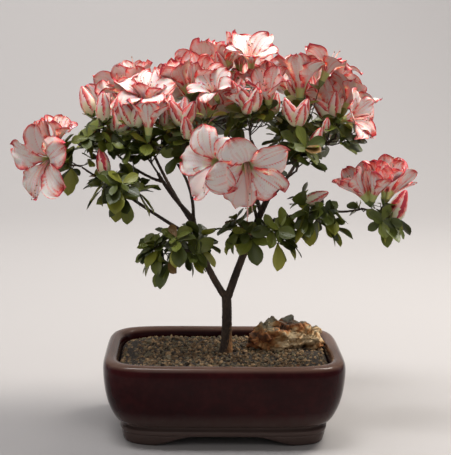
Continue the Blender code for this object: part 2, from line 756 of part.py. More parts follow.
def truss_flowers(foot, axis, kinds, turn, size):
    """The flowers of one cluster, fanned evenly round the way it faces."""
    flowers = []
    for place, kind in enumerate(kinds):
        tilt = math.radians(0 if len(kinds) == 1 else TRUSS_SPREAD)
        spin = math.radians(turn) + place * math.tau / len(kinds)
        way = facing(axis, spin) @ Vector((math.sin(tilt), 0, math.cos(tilt)))
        flowers.append((kind, foot - way * FLOWER_SUNK, way, math.radians(turn), size))
    return flowers


def grow_twig(stem, target, share, rng):
    """A twig from the stem that leaves low and rises to its target."""
    start = point_along(stem, share)
    length = (target - start).length
    sway = Vector((rng.uniform(-1, 1), rng.uniform(-1, 1), 0)) * 0.07 * length
    points = bowed_path(start, target, sway + Vector((0, 0, -0.10 * length)), TWIG_STEPS)
    radii = [TWIG_RADIUS + (TWIG_TIP_RADIUS - TWIG_RADIUS) * step / TWIG_STEPS
             for step in range(TWIG_STEPS + 1)]
    return points, radii, None


def grow_stem(index, limbs):
    """The stem of a mass, from just off its bough's tip to below the middle of the mass."""
    _, bough, centre, half_sizes, _ = MASSES[index]
    points, _ = limbs[bough]
    along = (points[-1] - points[-2]).normalized()
    foot = points[-1] + along * GAP
    bend = foot + along * STEM_RADIUS
    hub = Vector(centre) * MM - Vector((0, 0, 0.25 * half_sizes[2] * MM))
    stem = [foot] + bowed_path(bend, hub, along * (hub - foot).length * 0.12, STEM_STEPS)
    radii = [STEM_RADIUS + (TWIG_RADIUS - STEM_RADIUS) * step / STEM_STEPS
             for step in range(STEM_STEPS + 1)]
    return stem, [STEM_RADIUS] + radii, None


def leafy_targets(index, rng):
    """Evenly spread places near the mass's outer surface, from its underside up."""
    _, _, centre, half_sizes, count = MASSES[index]
    start = rng.uniform(0, math.tau)
    targets = []
    for place in range(count):
        height = LEAF_BAND[0] + (LEAF_BAND[1] - LEAF_BAND[0]) * (place + 0.5) / count
        around = start + place * GOLDEN_ANGLE
        across = math.sqrt(1 - height * height)
        way = (across * math.cos(around), across * math.sin(around), height)
        reach = rng.uniform(0.55, 0.80)
        targets.append(Vector([c + w * h * reach for c, w, h in zip(centre, way, half_sizes)]) * MM)
    return targets


def grow_whorl(twig, below_tip, count, size, rng, index, crown, joined):
    """Give a twig its whorl, turned up to the light, with the leaves that there is room for."""
    points, radii, _ = twig
    along = (points[-1] - points[-2]).normalized()
    axis = (along + Vector((0, 0, LIGHT_PULL))).normalized()
    foot = points[-1] - along * below_tip
    leaves = []
    for leaf in whorl_leaves(count, size, rng):
        bm = leaf_bmesh(foot, axis, leaf)
        if crown.in_own_cell(bm, index) and crown.has_room(bm, joined):
            if not crosses_itself(twig_bmesh((points, radii, (foot, axis, leaves + [leaf])))):
                leaves.append(leaf)
    return points, radii, (foot, axis, leaves) if leaves else None


def grow_clear_twig(target, index, mass, crown, rng, own_cell):
    """A twig to the target from the first place on the stem where it comes clear, or None."""
    for _ in range(TWIG_TRIES):
        twig = grow_twig(mass["twigs"][0][0], target, rng.uniform(0.4, 0.98), rng)
        bm = twig_bmesh(twig)
        if own_cell and not crown.in_own_cell(bm, index):
            continue
        if crown.has_room(bm, {mass["stem"]}) and not crosses_itself(bm):
            return twig
    return None


def grow_crown(limbs, crown):
    """Every mass's twigs, leaves and flowers, each kept only where there is room for it."""
    masses = []
    for index in range(len(MASSES)):
        stem = grow_stem(index, limbs)
        if not crown.has_room(twig_bmesh(stem), set()):
            print("the stem meets something", MASSES[index][0])
        number = crown.claim(twig_bmesh(stem), index)
        masses.append({"stem": number, "twigs": [stem], "flowers": []})
    carriers = [carrier for order, truss in enumerate(TRUSSES)
                for carrier in grow_truss(order, truss, masses, crown)]
    for index, twig, joined, rng in carriers:
        whorled = grow_whorl(twig, TRUSS_LEAVES_BELOW, 4, 0.9, rng, index, crown, joined)
        masses[index]["twigs"].append(whorled)
        crown.claim(twig_bmesh(whorled), index)
    for index, mass in enumerate(masses):
        rng = random.Random(MASSES[index][0])
        for target in leafy_targets(index, rng):
            size = rng.uniform(0.9, 1.15)
            twig = grow_clear_twig(target, index, mass, crown, rng, True)
            if twig:
                whorled = grow_whorl(twig, WHORL_SUNK, 5, size, rng, index, crown, {mass["stem"]})
                mass["twigs"].append(whorled)
                crown.claim(twig_bmesh(whorled), index)
    return masses


def grow_truss(order, truss, masses, crown):
    """A twig that carries a cluster of flowers; a flower without room grows smaller or not at all."""
    name, foot, turn, rise, kinds, ring_turn, size = truss
    index = [row[0] for row in MASSES].index(name)
    mass = masses[index]
    rng = random.Random(order)
    foot = Vector(foot) * MM
    axis = heading(turn, rise)
    twig = grow_clear_twig(foot, index, mass, crown, rng, False)
    if not twig:
        print("no room for the truss twig", order, name)
        return []
    joined = {mass["stem"], crown.claim(twig_bmesh(twig), index)}
    for kind, base, way, spin, grown in truss_flowers(foot, axis, kinds, ring_turn, size):
        for share in FLOWER_SIZES:
            flower = (kind, base, way, spin, grown * share)
            bm = flower_bmesh(flower)
            if crown.has_room(bm, crown.pieces_of(index)):
                mass["flowers"].append(flower)
                crown.claim(bm, index)
                if share < 1:
                    print("smaller", order, name, kind, share)
                break
        else:
            print("no room for a flower of truss", order, name, kind)
    return [(index, twig, joined, rng)]


def is_sound(mesh, pieces):
    """Whether a fused mesh is closed and has kept nearly all that went into it."""
    bm = bmesh.new()
    bm.from_mesh(mesh)
    closed = is_closed(bm)
    bm.free()
    return closed and len(mesh.polygons) > 12 * pieces


def make_mass(index, plan, collection, pieces):
    """Fuse a mass's pieces by one union on their collection."""
    name = MASSES[index][0]
    stem, *twigs = plan["twigs"]
    finish = "blossom" if plan["flowers"] else "leaf"
    mass = add_object(name, twig_bmesh(stem), collection, finish)
    start = mass.data.copy()
    made = [twig_bmesh(twig) for twig in twigs]
    made += [flower_bmesh(flower) for flower in plan["flowers"]]
    for bm in made:
        add_object("piece", bm, pieces)
    for solver in ("EXACT", "MANIFOLD"):
        mass.data = start.copy()
        add_boolean(mass, "UNION", solver, cutters=pieces)
        apply_modifiers(mass)
        keep_main_body(mass)
        if is_sound(mass.data, len(made)):
            break
        print("not sound", name, solver)
    remove_objects(pieces.objects)
    leaves = sum(len(whorl[2]) for _, _, whorl in twigs if whorl)
    print(name, len(twigs) + 1, "twigs", leaves, "leaves", len(plan["flowers"]), "flowers",
          len(mass.data.polygons), "faces", solver)


def keep_out_tree(limbs, cutters):
    """One search tree of every limb with its clearance round it."""
    bm = bmesh.new()
    for name, (points, radii) in limbs.items():
        swollen = swollen_tube(name + "_space", points, radii, LIMB_CLEARANCE, cutters)
        bm.from_mesh(swollen.data)
        remove_objects([swollen])
    tree = BVHTree.FromBMesh(bm)
    bm.free()
    return tree


def stand_at_origin(collection):
    """Parent every piece to one empty, placed so that the whole footprint is centred."""
    corners = np.array([vertex.co for made in collection.objects for vertex in made.data.vertices])
    low, high = corners.min(axis=0), corners.max(axis=0)
    assembly = bpy.data.objects.new(OBJECT_NAME + "_assembly", None)
    assembly.location = (-(low[0] + high[0]) / 2, -(low[1] + high[1]) / 2, -low[2])
    for made in list(collection.objects):
        made.parent = assembly
    collection.objects.link(assembly)
    print("offset", assembly.location, "size", high - low)


def main():
    clear_scene()
    collection = new_collection(OBJECT_NAME)
    cutters = new_collection("cutters")
    pieces = new_collection("mass_pieces")
    make_pot(collection)
    make_feet(collection, cutters)
    make_soil(collection)
    make_stone(collection, cutters)
    limbs = skeleton()
    make_limbs(limbs, collection, cutters)
    plans = grow_crown(limbs, Crown(keep_out_tree(limbs, cutters)))
    for index, plan in enumerate(plans):
        make_mass(index, plan, collection, pieces)
    remove_objects(cutters.objects)
    stand_at_origin(collection)


main()
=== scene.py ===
# %% [markdown]
# # Azalea bonsai in bloom
# A small azalea trained as a bonsai: one short trunk that forks low, thin dark boughs, whorls of
# oval leaves, and large white blooms with red margins, all in a glazed oxblood pot. The packed
# solids give the frame. Every cell below dresses one part of it and keeps to its place and size.

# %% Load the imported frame
import math
import random

import bmesh
import bpy
import numpy as np
from mathutils import Matrix, Quaternion, Vector, noise
from mathutils.bvhtree import BVHTree


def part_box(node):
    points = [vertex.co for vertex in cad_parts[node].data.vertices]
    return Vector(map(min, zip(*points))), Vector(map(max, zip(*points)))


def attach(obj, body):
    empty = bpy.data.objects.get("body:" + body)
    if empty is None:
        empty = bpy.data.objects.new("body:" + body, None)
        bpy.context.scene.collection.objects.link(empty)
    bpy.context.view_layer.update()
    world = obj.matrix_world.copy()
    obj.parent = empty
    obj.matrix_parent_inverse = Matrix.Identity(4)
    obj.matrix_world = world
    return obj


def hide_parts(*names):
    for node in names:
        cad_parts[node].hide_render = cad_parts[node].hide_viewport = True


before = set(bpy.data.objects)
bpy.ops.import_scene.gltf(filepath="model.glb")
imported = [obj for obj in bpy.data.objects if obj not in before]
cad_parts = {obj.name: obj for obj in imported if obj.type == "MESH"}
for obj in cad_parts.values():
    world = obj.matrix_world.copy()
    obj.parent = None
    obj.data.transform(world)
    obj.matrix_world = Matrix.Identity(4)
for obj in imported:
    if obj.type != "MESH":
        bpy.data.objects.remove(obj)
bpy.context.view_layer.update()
MM = 0.001
pot_low, pot_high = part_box("pot")
POT_CENTRE = Vector(((pot_low[0] + pot_high[0]) / 2, (pot_low[1] + pot_high[1]) / 2, 0.0))

# %% [markdown]
# ## Camera
# The plant is seen from the front and a little above, as one sees it on a bench. The camera is
# built from its own three directions, because that gives its pitch, its slight roll and its turn
# at once and leaves no rounding between them.

# %% Camera
FOCAL_PIXELS = 1182.0
FRAME_PIXELS = 455
SENSOR_WIDTH = 36.0
CAMERA_PLACE = Vector((-0.0292, -0.9965, 0.3459))
PITCH, ROLL, TURN = 0.169, 0.0131, -0.0296

level_right = Vector((math.cos(TURN), math.sin(TURN), 0))
level_ahead = Vector((-math.sin(TURN), math.cos(TURN), 0))
up_axis = Vector((0, 0, 1))
ahead = level_ahead * math.cos(PITCH) - up_axis * math.sin(PITCH)
above = level_ahead * math.sin(PITCH) + up_axis * math.cos(PITCH)
camera_right = level_right * math.cos(ROLL) + above * math.sin(ROLL)
camera_up = above * math.cos(ROLL) - level_right * math.sin(ROLL)

camera_data = bpy.data.cameras.new("bench_camera")
camera_data.sensor_width = SENSOR_WIDTH
camera_data.lens = FOCAL_PIXELS * SENSOR_WIDTH / FRAME_PIXELS
camera = bpy.data.objects.new("bench_camera", camera_data)
camera.matrix_world = Matrix((camera_right, camera_up, -ahead)).transposed().to_4x4()
camera.matrix_world.translation = POT_CENTRE + CAMERA_PLACE
bpy.context.scene.collection.objects.link(camera)
bpy.context.scene.camera = camera
print("lens", round(camera_data.lens, 1), "mm")

# %% [markdown]
# ## Floor and light
# A pale floor that sweeps up into a backdrop leaves no horizon behind the plant. The main light is
# large and stands high to the right and a little behind, so petals and leaves are bright on top.

# %% Floor and backdrop
FLOOR_COLOUR = (0.335, 0.318, 0.314, 1.0)
FLOOR_ROUGHNESS = 0.85
FLOOR_HALF_WIDTH = 4.0
SWEEP_START, SWEEP_RADIUS, SWEEP_STEPS = 1.1, 1.2, 24
BACKDROP_RISE = 2.0


def edges_among(geometry):
    return [part for part in geometry if isinstance(part, bmesh.types.BMEdge)]


def pulled_out(bm, edge, shift):
    """Pull an edge out into a face, and give the edges that this makes."""
    made = bmesh.ops.extrude_edge_only(bm, edges=edge)["geom"]
    corners = [part for part in made if isinstance(part, bmesh.types.BMVert)]
    bmesh.ops.translate(bm, vec=shift, verts=corners)
    return edges_among(made)


def floor_and_backdrop():
    bm = bmesh.new()
    ends = [bm.verts.new((side * FLOOR_HALF_WIDTH, -FLOOR_HALF_WIDTH, 0)) for side in (-1, 1)]
    edge = pulled_out(bm, [bm.edges.new(ends)], (0, FLOOR_HALF_WIDTH + SWEEP_START, 0))
    sweep = bmesh.ops.spin(bm, geom=edge, cent=(0, SWEEP_START, SWEEP_RADIUS), axis=(1, 0, 0),
                           angle=math.pi / 2, steps=SWEEP_STEPS)["geom_last"]
    pulled_out(bm, edges_among(sweep), (0, 0, BACKDROP_RISE))
    bmesh.ops.recalc_face_normals(bm, faces=bm.faces)
    for face in bm.faces:
        face.smooth = True
    mesh = bpy.data.meshes.new("bench_and_backdrop")
    bm.to_mesh(mesh)
    bm.free()
    floor = bpy.data.objects.new("bench_and_backdrop", mesh)
    bpy.context.scene.collection.objects.link(floor)
    paint = bpy.data.materials.new("bench_paint")
    paint.use_nodes = True
    shader = paint.node_tree.nodes["Principled BSDF"]
    shader.inputs["Base Color"].default_value = FLOOR_COLOUR
    shader.inputs["Roughness"].default_value = FLOOR_ROUGHNESS
    mesh.materials.append(paint)
    print("backdrop reaches", tuple(round(part, 2) for part in floor.dimensions))


floor_and_backdrop()

# %% Light
LIGHTS = (
    # name, place, aimed at, size, power, colour
    ("high_window", (0.75, 0.30, 1.55), (0.0, 0.0, 0.15), 0.65, 37.5, (1.0, 0.96, 0.89)),
    ("front_window", (-0.4, -1.6, 1.9), (0.0, 0.0, 0.15), 1.2, 5.0, (1.0, 0.98, 0.96)),
    ("backdrop_wash", (-0.6, -0.2, 2.4), (0.0, 2.3, 1.8), 1.4, 108.0, (1.0, 1.0, 1.0)),
)
for name, place, target, size, power, colour in LIGHTS:
    lamp = bpy.data.lights.new(name, "AREA")
    lamp.shape = "DISK"
    lamp.size = size
    lamp.energy = power
    lamp.color = colour
    holder = bpy.data.objects.new(name, lamp)
    holder.location = place
    holder.rotation_euler = (Vector(target) - Vector(place)).to_track_quat("-Z", "Y").to_euler()
    bpy.context.scene.collection.objects.link(holder)
bpy.context.scene.view_settings.view_transform = "Standard"
print(len(LIGHTS), "lamps")

# %% [markdown]
# ## Finishes as expressions
# A finish is easier to read as sums than as a web of nodes. `Wire` wraps one socket, and adding
# or multiplying wires adds the Math nodes. `Nodes` adds any other node to a tree, and `Finish` is
# the tree of one material.

# %% Wires and finishes
class Wire:
    """One output socket; arithmetic on it adds Math nodes."""

    def __init__(self, nodes, socket):
        self.nodes = nodes
        self.socket = socket

    def sum_of(self, operation, first, second):
        return self.nodes.node("ShaderNodeMath", {"operation": operation}, [first, second])

    def __add__(self, other):
        return self.sum_of("ADD", self, other)

    def __sub__(self, other):
        return self.sum_of("SUBTRACT", self, other)

    def __mul__(self, other):
        return self.sum_of("MULTIPLY", self, other)

    def __rsub__(self, other):
        return self.sum_of("SUBTRACT", other, self)

    __radd__ = __add__
    __rmul__ = __mul__


class Nodes:
    """A node tree, with the one method that adds a node to it."""

    def __init__(self, tree):
        self.tree = tree

    def put(self, node, socket, value):
        target = node.inputs[socket]
        if isinstance(value, Wire):
            self.tree.links.new(value.socket, target)
        elif isinstance(value, tuple) and len(value) == 3 and target.type == "RGBA":
            target.default_value = (*value, 1.0)
        else:
            target.default_value = value

    def node(self, kind, settings=None, inputs=(), output=0):
        """Add a node: its settings first, then its inputs by number or by name."""
        made = self.tree.nodes.new(kind)
        for setting, value in (settings or {}).items():
            if setting == "stops":
                self.fill_ramp(made.color_ramp, value)
            else:
                setattr(made, setting, value)
        pairs = inputs.items() if isinstance(inputs, dict) else enumerate(inputs)
        for socket, value in pairs:
            self.put(made, socket, value)
        return Wire(self, made.outputs[output])

    def fill_ramp(self, ramp, stops):
        while len(ramp.elements) < len(stops):
            ramp.elements.new(0.5)
        for element, (place, colour) in zip(ramp.elements, stops):
            element.position = place
            element.color = (*colour, 1.0) if len(colour) == 3 else colour


print("sums of wires add their own Math nodes")

# %% [markdown]
# ## Sky
# Indoors, soft light comes from all round. Many large lamps could give it, but a world's colour
# does it with one ramp and no further shadows. It is greyer in front, because that is what the
# deep glaze of the pot mirrors.

# %% Sky
SKY_BEHIND, SKY_IN_FRONT = (0.86, 0.87, 0.90), (0.29, 0.285, 0.285)
SKY_TURNS_PALE = 0.45
SKY_STRENGTH = 0.95
sky = bpy.data.worlds.new("pale_sky")
sky.use_nodes = True
air = Nodes(sky.node_tree)
toward_back = air.node("ShaderNodeSeparateXYZ", {}, [air.node("ShaderNodeTexCoord", output="Generated")],
                       output=1)
sky_colour = air.node("ShaderNodeValToRGB", {
    "stops": ((0.0, SKY_IN_FRONT), (SKY_TURNS_PALE, SKY_BEHIND))}, [toward_back])
air.put(sky.node_tree.nodes["Background"], "Color", sky_colour)
air.put(sky.node_tree.nodes["Background"], "Strength", SKY_STRENGTH)
bpy.context.scene.world = sky
print("sky turns from", SKY_IN_FRONT, "to", SKY_BEHIND)

# %% Finishes
class Finish(Nodes):
    """A material with its Principled shader and its node tree."""

    def __init__(self, name, colour, roughness, **sockets):
        self.material = bpy.data.materials.new(name)
        self.material.use_nodes = True
        super().__init__(self.material.node_tree)
        self.shader = self.tree.nodes["Principled BSDF"]
        self.put(self.shader, "Base Color", colour)
        self.put(self.shader, "Roughness", roughness)
        for socket, value in sockets.items():
            self.put(self.shader, socket.replace("_", " "), value)

    def place(self):
        return self.node("ShaderNodeTexCoord", output="Object")

    def speckle(self, scale, detail=3.0, rough=0.55, stretch=(1, 1, 1)):
        """Cloudy noise between 0 and 1 on the piece's own coordinates."""
        spot = self.node("ShaderNodeVectorMath", {"operation": "MULTIPLY"}, [self.place(), stretch])
        return self.node("ShaderNodeTexNoise", {}, {"Vector": spot, "Scale": scale, "Detail": detail,
                                                    "Roughness": rough})

    def ramp(self, factor, stops):
        return self.node("ShaderNodeValToRGB", {"stops": stops}, [factor])

    def mix(self, factor, first, second):
        return self.node("ShaderNodeMix", {"data_type": "RGBA"}, {0: factor, 6: first, 7: second},
                         output=2)

    def between(self, value, low, high):
        """0 at the low value, 1 at the high one, and clamped beyond them."""
        return self.node("ShaderNodeMapRange", {"clamp": True},
                         {"Value": value, "From Min": low, "From Max": high})

    def along(self, axis):
        """One of a place's own coordinates in metres: 0 to the right, 1 back, 2 up."""
        return self.node("ShaderNodeSeparateXYZ", {}, [self.place()], output=axis)

    def facing_up(self):
        """How far the skin faces up, from the mark that mark_facing leaves on a form."""
        way = self.node("ShaderNodeAttribute", {"attribute_name": "facing"}, output="Vector")
        way = self.node("ShaderNodeVectorMath", {"operation": "NORMALIZE"}, [way])
        return self.node("ShaderNodeSeparateXYZ", {}, [way], output=2)

    def relief(self, height, strength, distance):
        bump = self.node("ShaderNodeBump", {}, {"Height": height, "Strength": strength,
                                                "Distance": distance})
        self.put(self.shader, "Normal", bump)
        return self


print("a finish can be speckled, ramped, mixed and given relief")

# %% [markdown]
# ## The plant's plan
# Everything below the leaves is set out once, in millimetres from the middle of the pot: the
# trunk, the boughs that leave it, the masses of foliage they carry and the clusters of flowers.
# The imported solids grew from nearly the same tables. Here a few clusters stand some millimetres
# away from theirs, and later cells make the crown fuller than the solids are.

# %% Trunk and boughs
GAP = 0.3 * MM
# Name, parent, how far along the parent it starts, tip, bow at mid length (mm),
# radius where it starts and at its tip (mm).
TRUNK_FOOT = (2, 0, 65.8)
LIMBS = (
    ("trunk", None, 0.0, (2, 0, 116), (0.6, 0, 0), 4.6, 4.1),
    ("bough_left", "trunk", 0.94, (-28, 6, 184), (-5, 1, 0), 3.1, 2.5),
    ("bough_right", "trunk", 0.92, (39, -4, 210), (-2, -1, -1), 3.6, 2.6),
    ("bough_left_upper", "bough_left", 0.98, (-58, 9, 221), (-2, 0, 0), 2.2, 1.5),
    ("bough_left_outer", "bough_left_upper", 0.80, (-92, 2, 237), (0, 0, -3), 1.4, 1.0),
    ("bough_left_inner", "bough_left", 0.95, (-41, -8, 231), (4, -3, 2), 1.6, 1.1),
    ("bough_left_long", "bough_left", 0.72, (-100, -8, 216), (2, 0, -3), 1.7, 1.2),
    ("bough_left_tip", "bough_left_long", 0.97, (-121, -11, 228), (0, 0, -1), 1.1, 0.9),
    ("bough_left_mid", "bough_left_long", 0.56, (-72, -15, 205), (0, 0, -1), 1.0, 0.8),
    ("bough_low_left", "bough_left", 0.42, (-30, -5, 156), (0, -1, 2), 1.2, 0.9),
    ("bough_back_left", "bough_left", 0.90, (-62, 44, 232), (0, 4, -4), 2.0, 1.3),
    ("bough_right_upper", "bough_right", 0.98, (53, 2, 240), (1, 1, 0), 2.3, 1.6),
    ("bough_centre", "bough_right", 0.86, (21, 2, 251), (5, 3, -2), 1.9, 1.2),
    ("bough_right_outer", "bough_right_upper", 0.72, (81, -2, 247), (2, 0, -3), 1.5, 1.1),
    ("bough_front", "bough_right", 0.70, (16, -30, 214), (3, -3, -3), 1.6, 1.1),
    ("bough_right_mid", "bough_right_upper", 0.20, (58, -12, 226), (0, -1, -1), 1.2, 0.9),
    ("bough_low_centre", "bough_right", 0.42, (25, -13, 165), (0, -1, 0), 1.1, 0.9),
    ("bough_right_low", "bough_right", 0.68, (92, -15, 193), (0, -1, 3), 1.8, 1.2),
    ("bough_right_tip", "bough_right_low", 0.97, (114, -15, 195), (0, 0, -1), 1.1, 0.95),
    ("bough_right_leafy", "bough_right_low", 0.42, (63, -20, 192), (0, -1, 0), 1.0, 0.85),
    ("bough_back", "bough_right", 0.80, (6, 48, 244), (3, 6, -4), 2.0, 1.3),
    ("bough_back_right", "bough_right", 0.90, (68, 44, 236), (2, 5, -3), 1.9, 1.3),
    ("bough_back_low", "bough_back", 0.45, (24, 40, 206), (1, 2, -1), 1.1, 0.9),
)
LIMB_STEPS = 5
ROOT_FLARE = 1.5 * MM
ROOT_FLARE_HEIGHT = 5 * MM
print(len(LIMBS), "limbs planned")

# %% Masses of leaves and blossom
# Name, bough, centre and half sizes (mm), number of leafy tips.
MASSES = (
    ("mass_left_tip", "bough_left_tip", (-130, -13, 234), (24, 20, 20), 4),
    ("mass_left_mid", "bough_left_mid", (-92, -17, 214), (28, 22, 24), 8),
    ("mass_low_left", "bough_low_left", (-44, -5, 163), (38, 26, 26), 9),
    ("mass_far_left", "bough_left_outer", (-107, 2, 252), (22, 24, 22), 6),
    ("mass_left", "bough_left_upper", (-72, -4, 250), (26, 28, 26), 7),
    ("mass_mid_left", "bough_left_inner", (-30, -8, 252), (24, 26, 26), 7),
    ("mass_top", "bough_centre", (20, -2, 270), (26, 26, 26), 6),
    ("mass_right", "bough_right_upper", (60, -2, 259), (22, 26, 26), 7),
    ("mass_far_right", "bough_right_outer", (93, -4, 259), (22, 24, 22), 6),
    ("mass_front", "bough_front", (4, -38, 228), (32, 22, 26), 5),
    ("mass_right_mid", "bough_right_mid", (58, -22, 244), (20, 18, 20), 7),
    ("mass_low_centre", "bough_low_centre", (30, -18, 179), (37, 22, 22), 8),
    ("mass_right_low", "bough_right_leafy", (80, -17, 194), (29, 20, 24), 8),
    ("mass_right_tip", "bough_right_tip", (133, -13, 194), (26, 20, 20), 4),
    ("mass_back_left", "bough_back_left", (-72, 66, 260), (36, 34, 34), 7),
    ("mass_back", "bough_back", (-2, 84, 274), (36, 34, 34), 7),
    ("mass_back_right", "bough_back_right", (74, 72, 264), (36, 34, 34), 7),
    ("mass_back_low", "bough_back_low", (16, 62, 214), (36, 28, 24), 8),
)
# Mass, foot of the cluster (mm), the way it faces (degrees round from +X, degrees up),
# its flowers (O open, H half open, B bud), the turn of the ring of flowers and its size.
TRUSSES = (
    ("mass_left_tip", (-141, -16, 236), -122, -4, "O", 30, 0.98),
    ("mass_left_tip", (-143, -6, 243), 150, 78, "HHB", 200, 0.80),
    ("mass_left_mid", (-101, -15, 221), 180, 82, "B", 0, 1.05),
    ("mass_far_left", (-112, 2, 270), 180, 64, "B", 0, 1.15),
    ("mass_far_left", (-103, -8, 266), -110, 84, "B", 0, 1.1),
    ("mass_left", (-76, -14, 263), -100, 84, "BBB", 185, 1.15),
    ("mass_left", (-80, 12, 277), 170, 64, "O", 10, 0.84),
    ("mass_left", (-67, -4, 275), -95, 60, "O", 40, 0.84),
    ("mass_left", (-53, -12, 263), -60, 75, "B", 0, 0.75),
    ("mass_mid_left", (-30, 8, 285), 80, 88, "HHH", 190, 1.05),
    ("mass_mid_left", (-36, -16, 264), -110, 82, "BBB", 200, 1.10),
    ("mass_mid_left", (-7, -14, 283), -125, 52, "O", 0, 0.80),
    ("mass_top", (20, 2, 307), -92, 62, "O", 15, 0.95),
    ("mass_top", (20, -24, 278), -90, 80, "BBB", 180, 1.05),
    ("mass_top", (35, -9, 279), -120, 82, "HH", 80, 1.00),
    ("mass_top", (30, 10, 296), 60, 66, "HB", 90, 0.90),
    ("mass_right", (61, -2, 281), 60, 86, "H", 0, 1.2),
    ("mass_right", (78, 0, 297), 10, 66, "O", 30, 0.95),
    ("mass_right", (58, -22, 266), -95, 80, "BBB", 170, 1.05),
    ("mass_far_right", (98, 12, 271), 25, 58, "O", 10, 0.95),
    ("mass_far_right", (92, -8, 268), -35, 16, "O", 40, 0.95),
    ("mass_front", (14, -46, 241), -84, -22, "O", 8, 1.08),
    ("mass_front", (-2, -41, 236), -128, 4, "O", 30, 0.95),
    ("mass_right_mid", (70, -20, 246), 30, 60, "B", 0, 0.9),
    ("mass_right_low", (66, -18, 201), 0, 24, "B", 0, 0.95),
    ("mass_right_tip", (122, -14, 198), 150, 82, "HHH", 190, 1.02),
    ("mass_right_tip", (134, -9, 199), 25, 70, "HH", 60, 1.08),
    ("mass_right_tip", (139, -13, 183), 8, 60, "B", 0, 1.35),
    ("mass_back_left", (-90, 78, 274), 140, 40, "OBB", 30, 0.95),
    ("mass_back_left", (-60, 84, 276), 75, 46, "OH", 120, 0.95),
    ("mass_back", (-24, 96, 294), 110, 40, "OBB", 0, 0.95),
    ("mass_back", (14, 93, 300), 70, 55, "OH", 60, 0.95),
    ("mass_back", (-2, 74, 306), -90, 84, "HBB", 0, 0.95),
    ("mass_back_right", (92, 80, 286), 35, 42, "OBB", 90, 0.95),
    ("mass_back_right", (62, 89, 282), 95, 46, "OH", 30, 0.95),
    ("mass_back_low", (10, 84, 212), 90, 14, "BB", 20, 1.0),
)
print(len(MASSES), "masses and", len(TRUSSES), "clusters planned")

# %% Sizes of twigs, leaves and flowers
MASS_GAP = 0.35 * MM
LIMB_CLEARANCE = 0.2 * MM
LEAF_LENGTH = 21 * MM
LEAF_WIDTH = 0.46
LEAF_WIDEST = 0.55
LEAF_DROOP = 0.08
LIGHT_PULL = 0.7
WHORL_HUB = 1.0 * MM
WHORL_HALF_THICKNESS = 0.6 * MM
TWIG_RADIUS = 0.62 * MM
TWIG_TIP_RADIUS = 0.42 * MM
STEM_RADIUS = 0.95 * MM
TWIG_STEPS = 2
STEM_STEPS = 2
LEAF_BAND = (-0.85, 0.35)
TRUSS_SPREAD = 30
TRUSS_LEAVES, TRUSS_LEAF_SIZE = 4, 0.9
TRUSS_LEAVES_BELOW = 4 * MM
TWIG_LEAVES = 5
WHORL_SUNK = 0.5 * MM
FLOWER_SUNK = 1.2 * MM
TWIG_TRIES = 4
GOLDEN_ANGLE = math.pi * (3 - math.sqrt(5))
FLOWER_SIZES = (1.0, 0.9, 0.8, 0.7)

# Radius and height of each ring (mm) from the flower's foot: outside, then inside.
OPEN_LOBE = ((0.0, 16.5, 23.0), (0.28, 29.0, 26.0), (0.5, 32.0, 25.0), (0.72, 29.0, 26.0))
HALF_OPEN_LOBE = ((0.0, 9.5, 26.0), (0.5, 12.5, 37.0))
TUBE_RINGS = ((1.1, 0.0), (2.3, 4.5), (4.0, 14.0))
THROAT_RING = (2.2, 15.0)
TUBE_TURN = 0.46
BUD_LENGTH = 24 * MM
BUD_RADIUS = 5.2 * MM
print("leaves are about", round(LEAF_LENGTH / MM), "mm long")

# %% [markdown]
# ## Growing the crown
# The growing rule gives each mass a stem, sends twigs to places near its outer surface, sets a
# whorl of leaves on each twig and flowers on the flowering ones. A twig, leaf or flower stays only
# where there is room. The search tree of everything that has grown so far answers that.

# %% Paths and directions
def bowed_path(start, tip, bow, steps):
    """Points on a line from start to tip that bends by the bow at mid length."""
    return [start.lerp(tip, step / steps) + bow * (4 * step / steps * (1 - step / steps))
            for step in range(steps + 1)]


def point_along(points, share):
    """The point that lies at a share of the way along the points."""
    place = min(max(share, 0.0), 1.0) * (len(points) - 1)
    first = min(int(place), len(points) - 2)
    return points[first].lerp(points[first + 1], place - first)


def skeleton():
    """Centre line and radii of every limb, each starting inside its parent."""
    limbs = {}
    for name, parent, along, tip, bow, start_radius, tip_radius in LIMBS:
        start = point_along(limbs[parent][0], along) if parent else Vector(TRUNK_FOOT) * MM
        points = bowed_path(start, Vector(tip) * MM, Vector(bow) * MM, LIMB_STEPS)
        radii = [(start_radius + (tip_radius - start_radius) * step / LIMB_STEPS) * MM
                 for step in range(LIMB_STEPS + 1)]
        if parent is None:
            radii = [radius + ROOT_FLARE * math.exp(-(point.z - start.z) / ROOT_FLARE_HEIGHT)
                     for point, radius in zip(points, radii)]
        limbs[name] = (points, radii)
    return limbs


def facing(direction, spin):
    """A turn that points +Z along the direction, spun about it."""
    return Vector((0, 0, 1)).rotation_difference(direction) @ Quaternion((0, 0, 1), spin)


def heading(round_degrees, up_degrees):
    turn = math.radians(round_degrees)
    rise = math.radians(up_degrees)
    return Vector((math.cos(rise) * math.cos(turn), math.cos(rise) * math.sin(turn), math.sin(rise)))


limbs = skeleton()
print("skeleton of", len(limbs), "limbs")

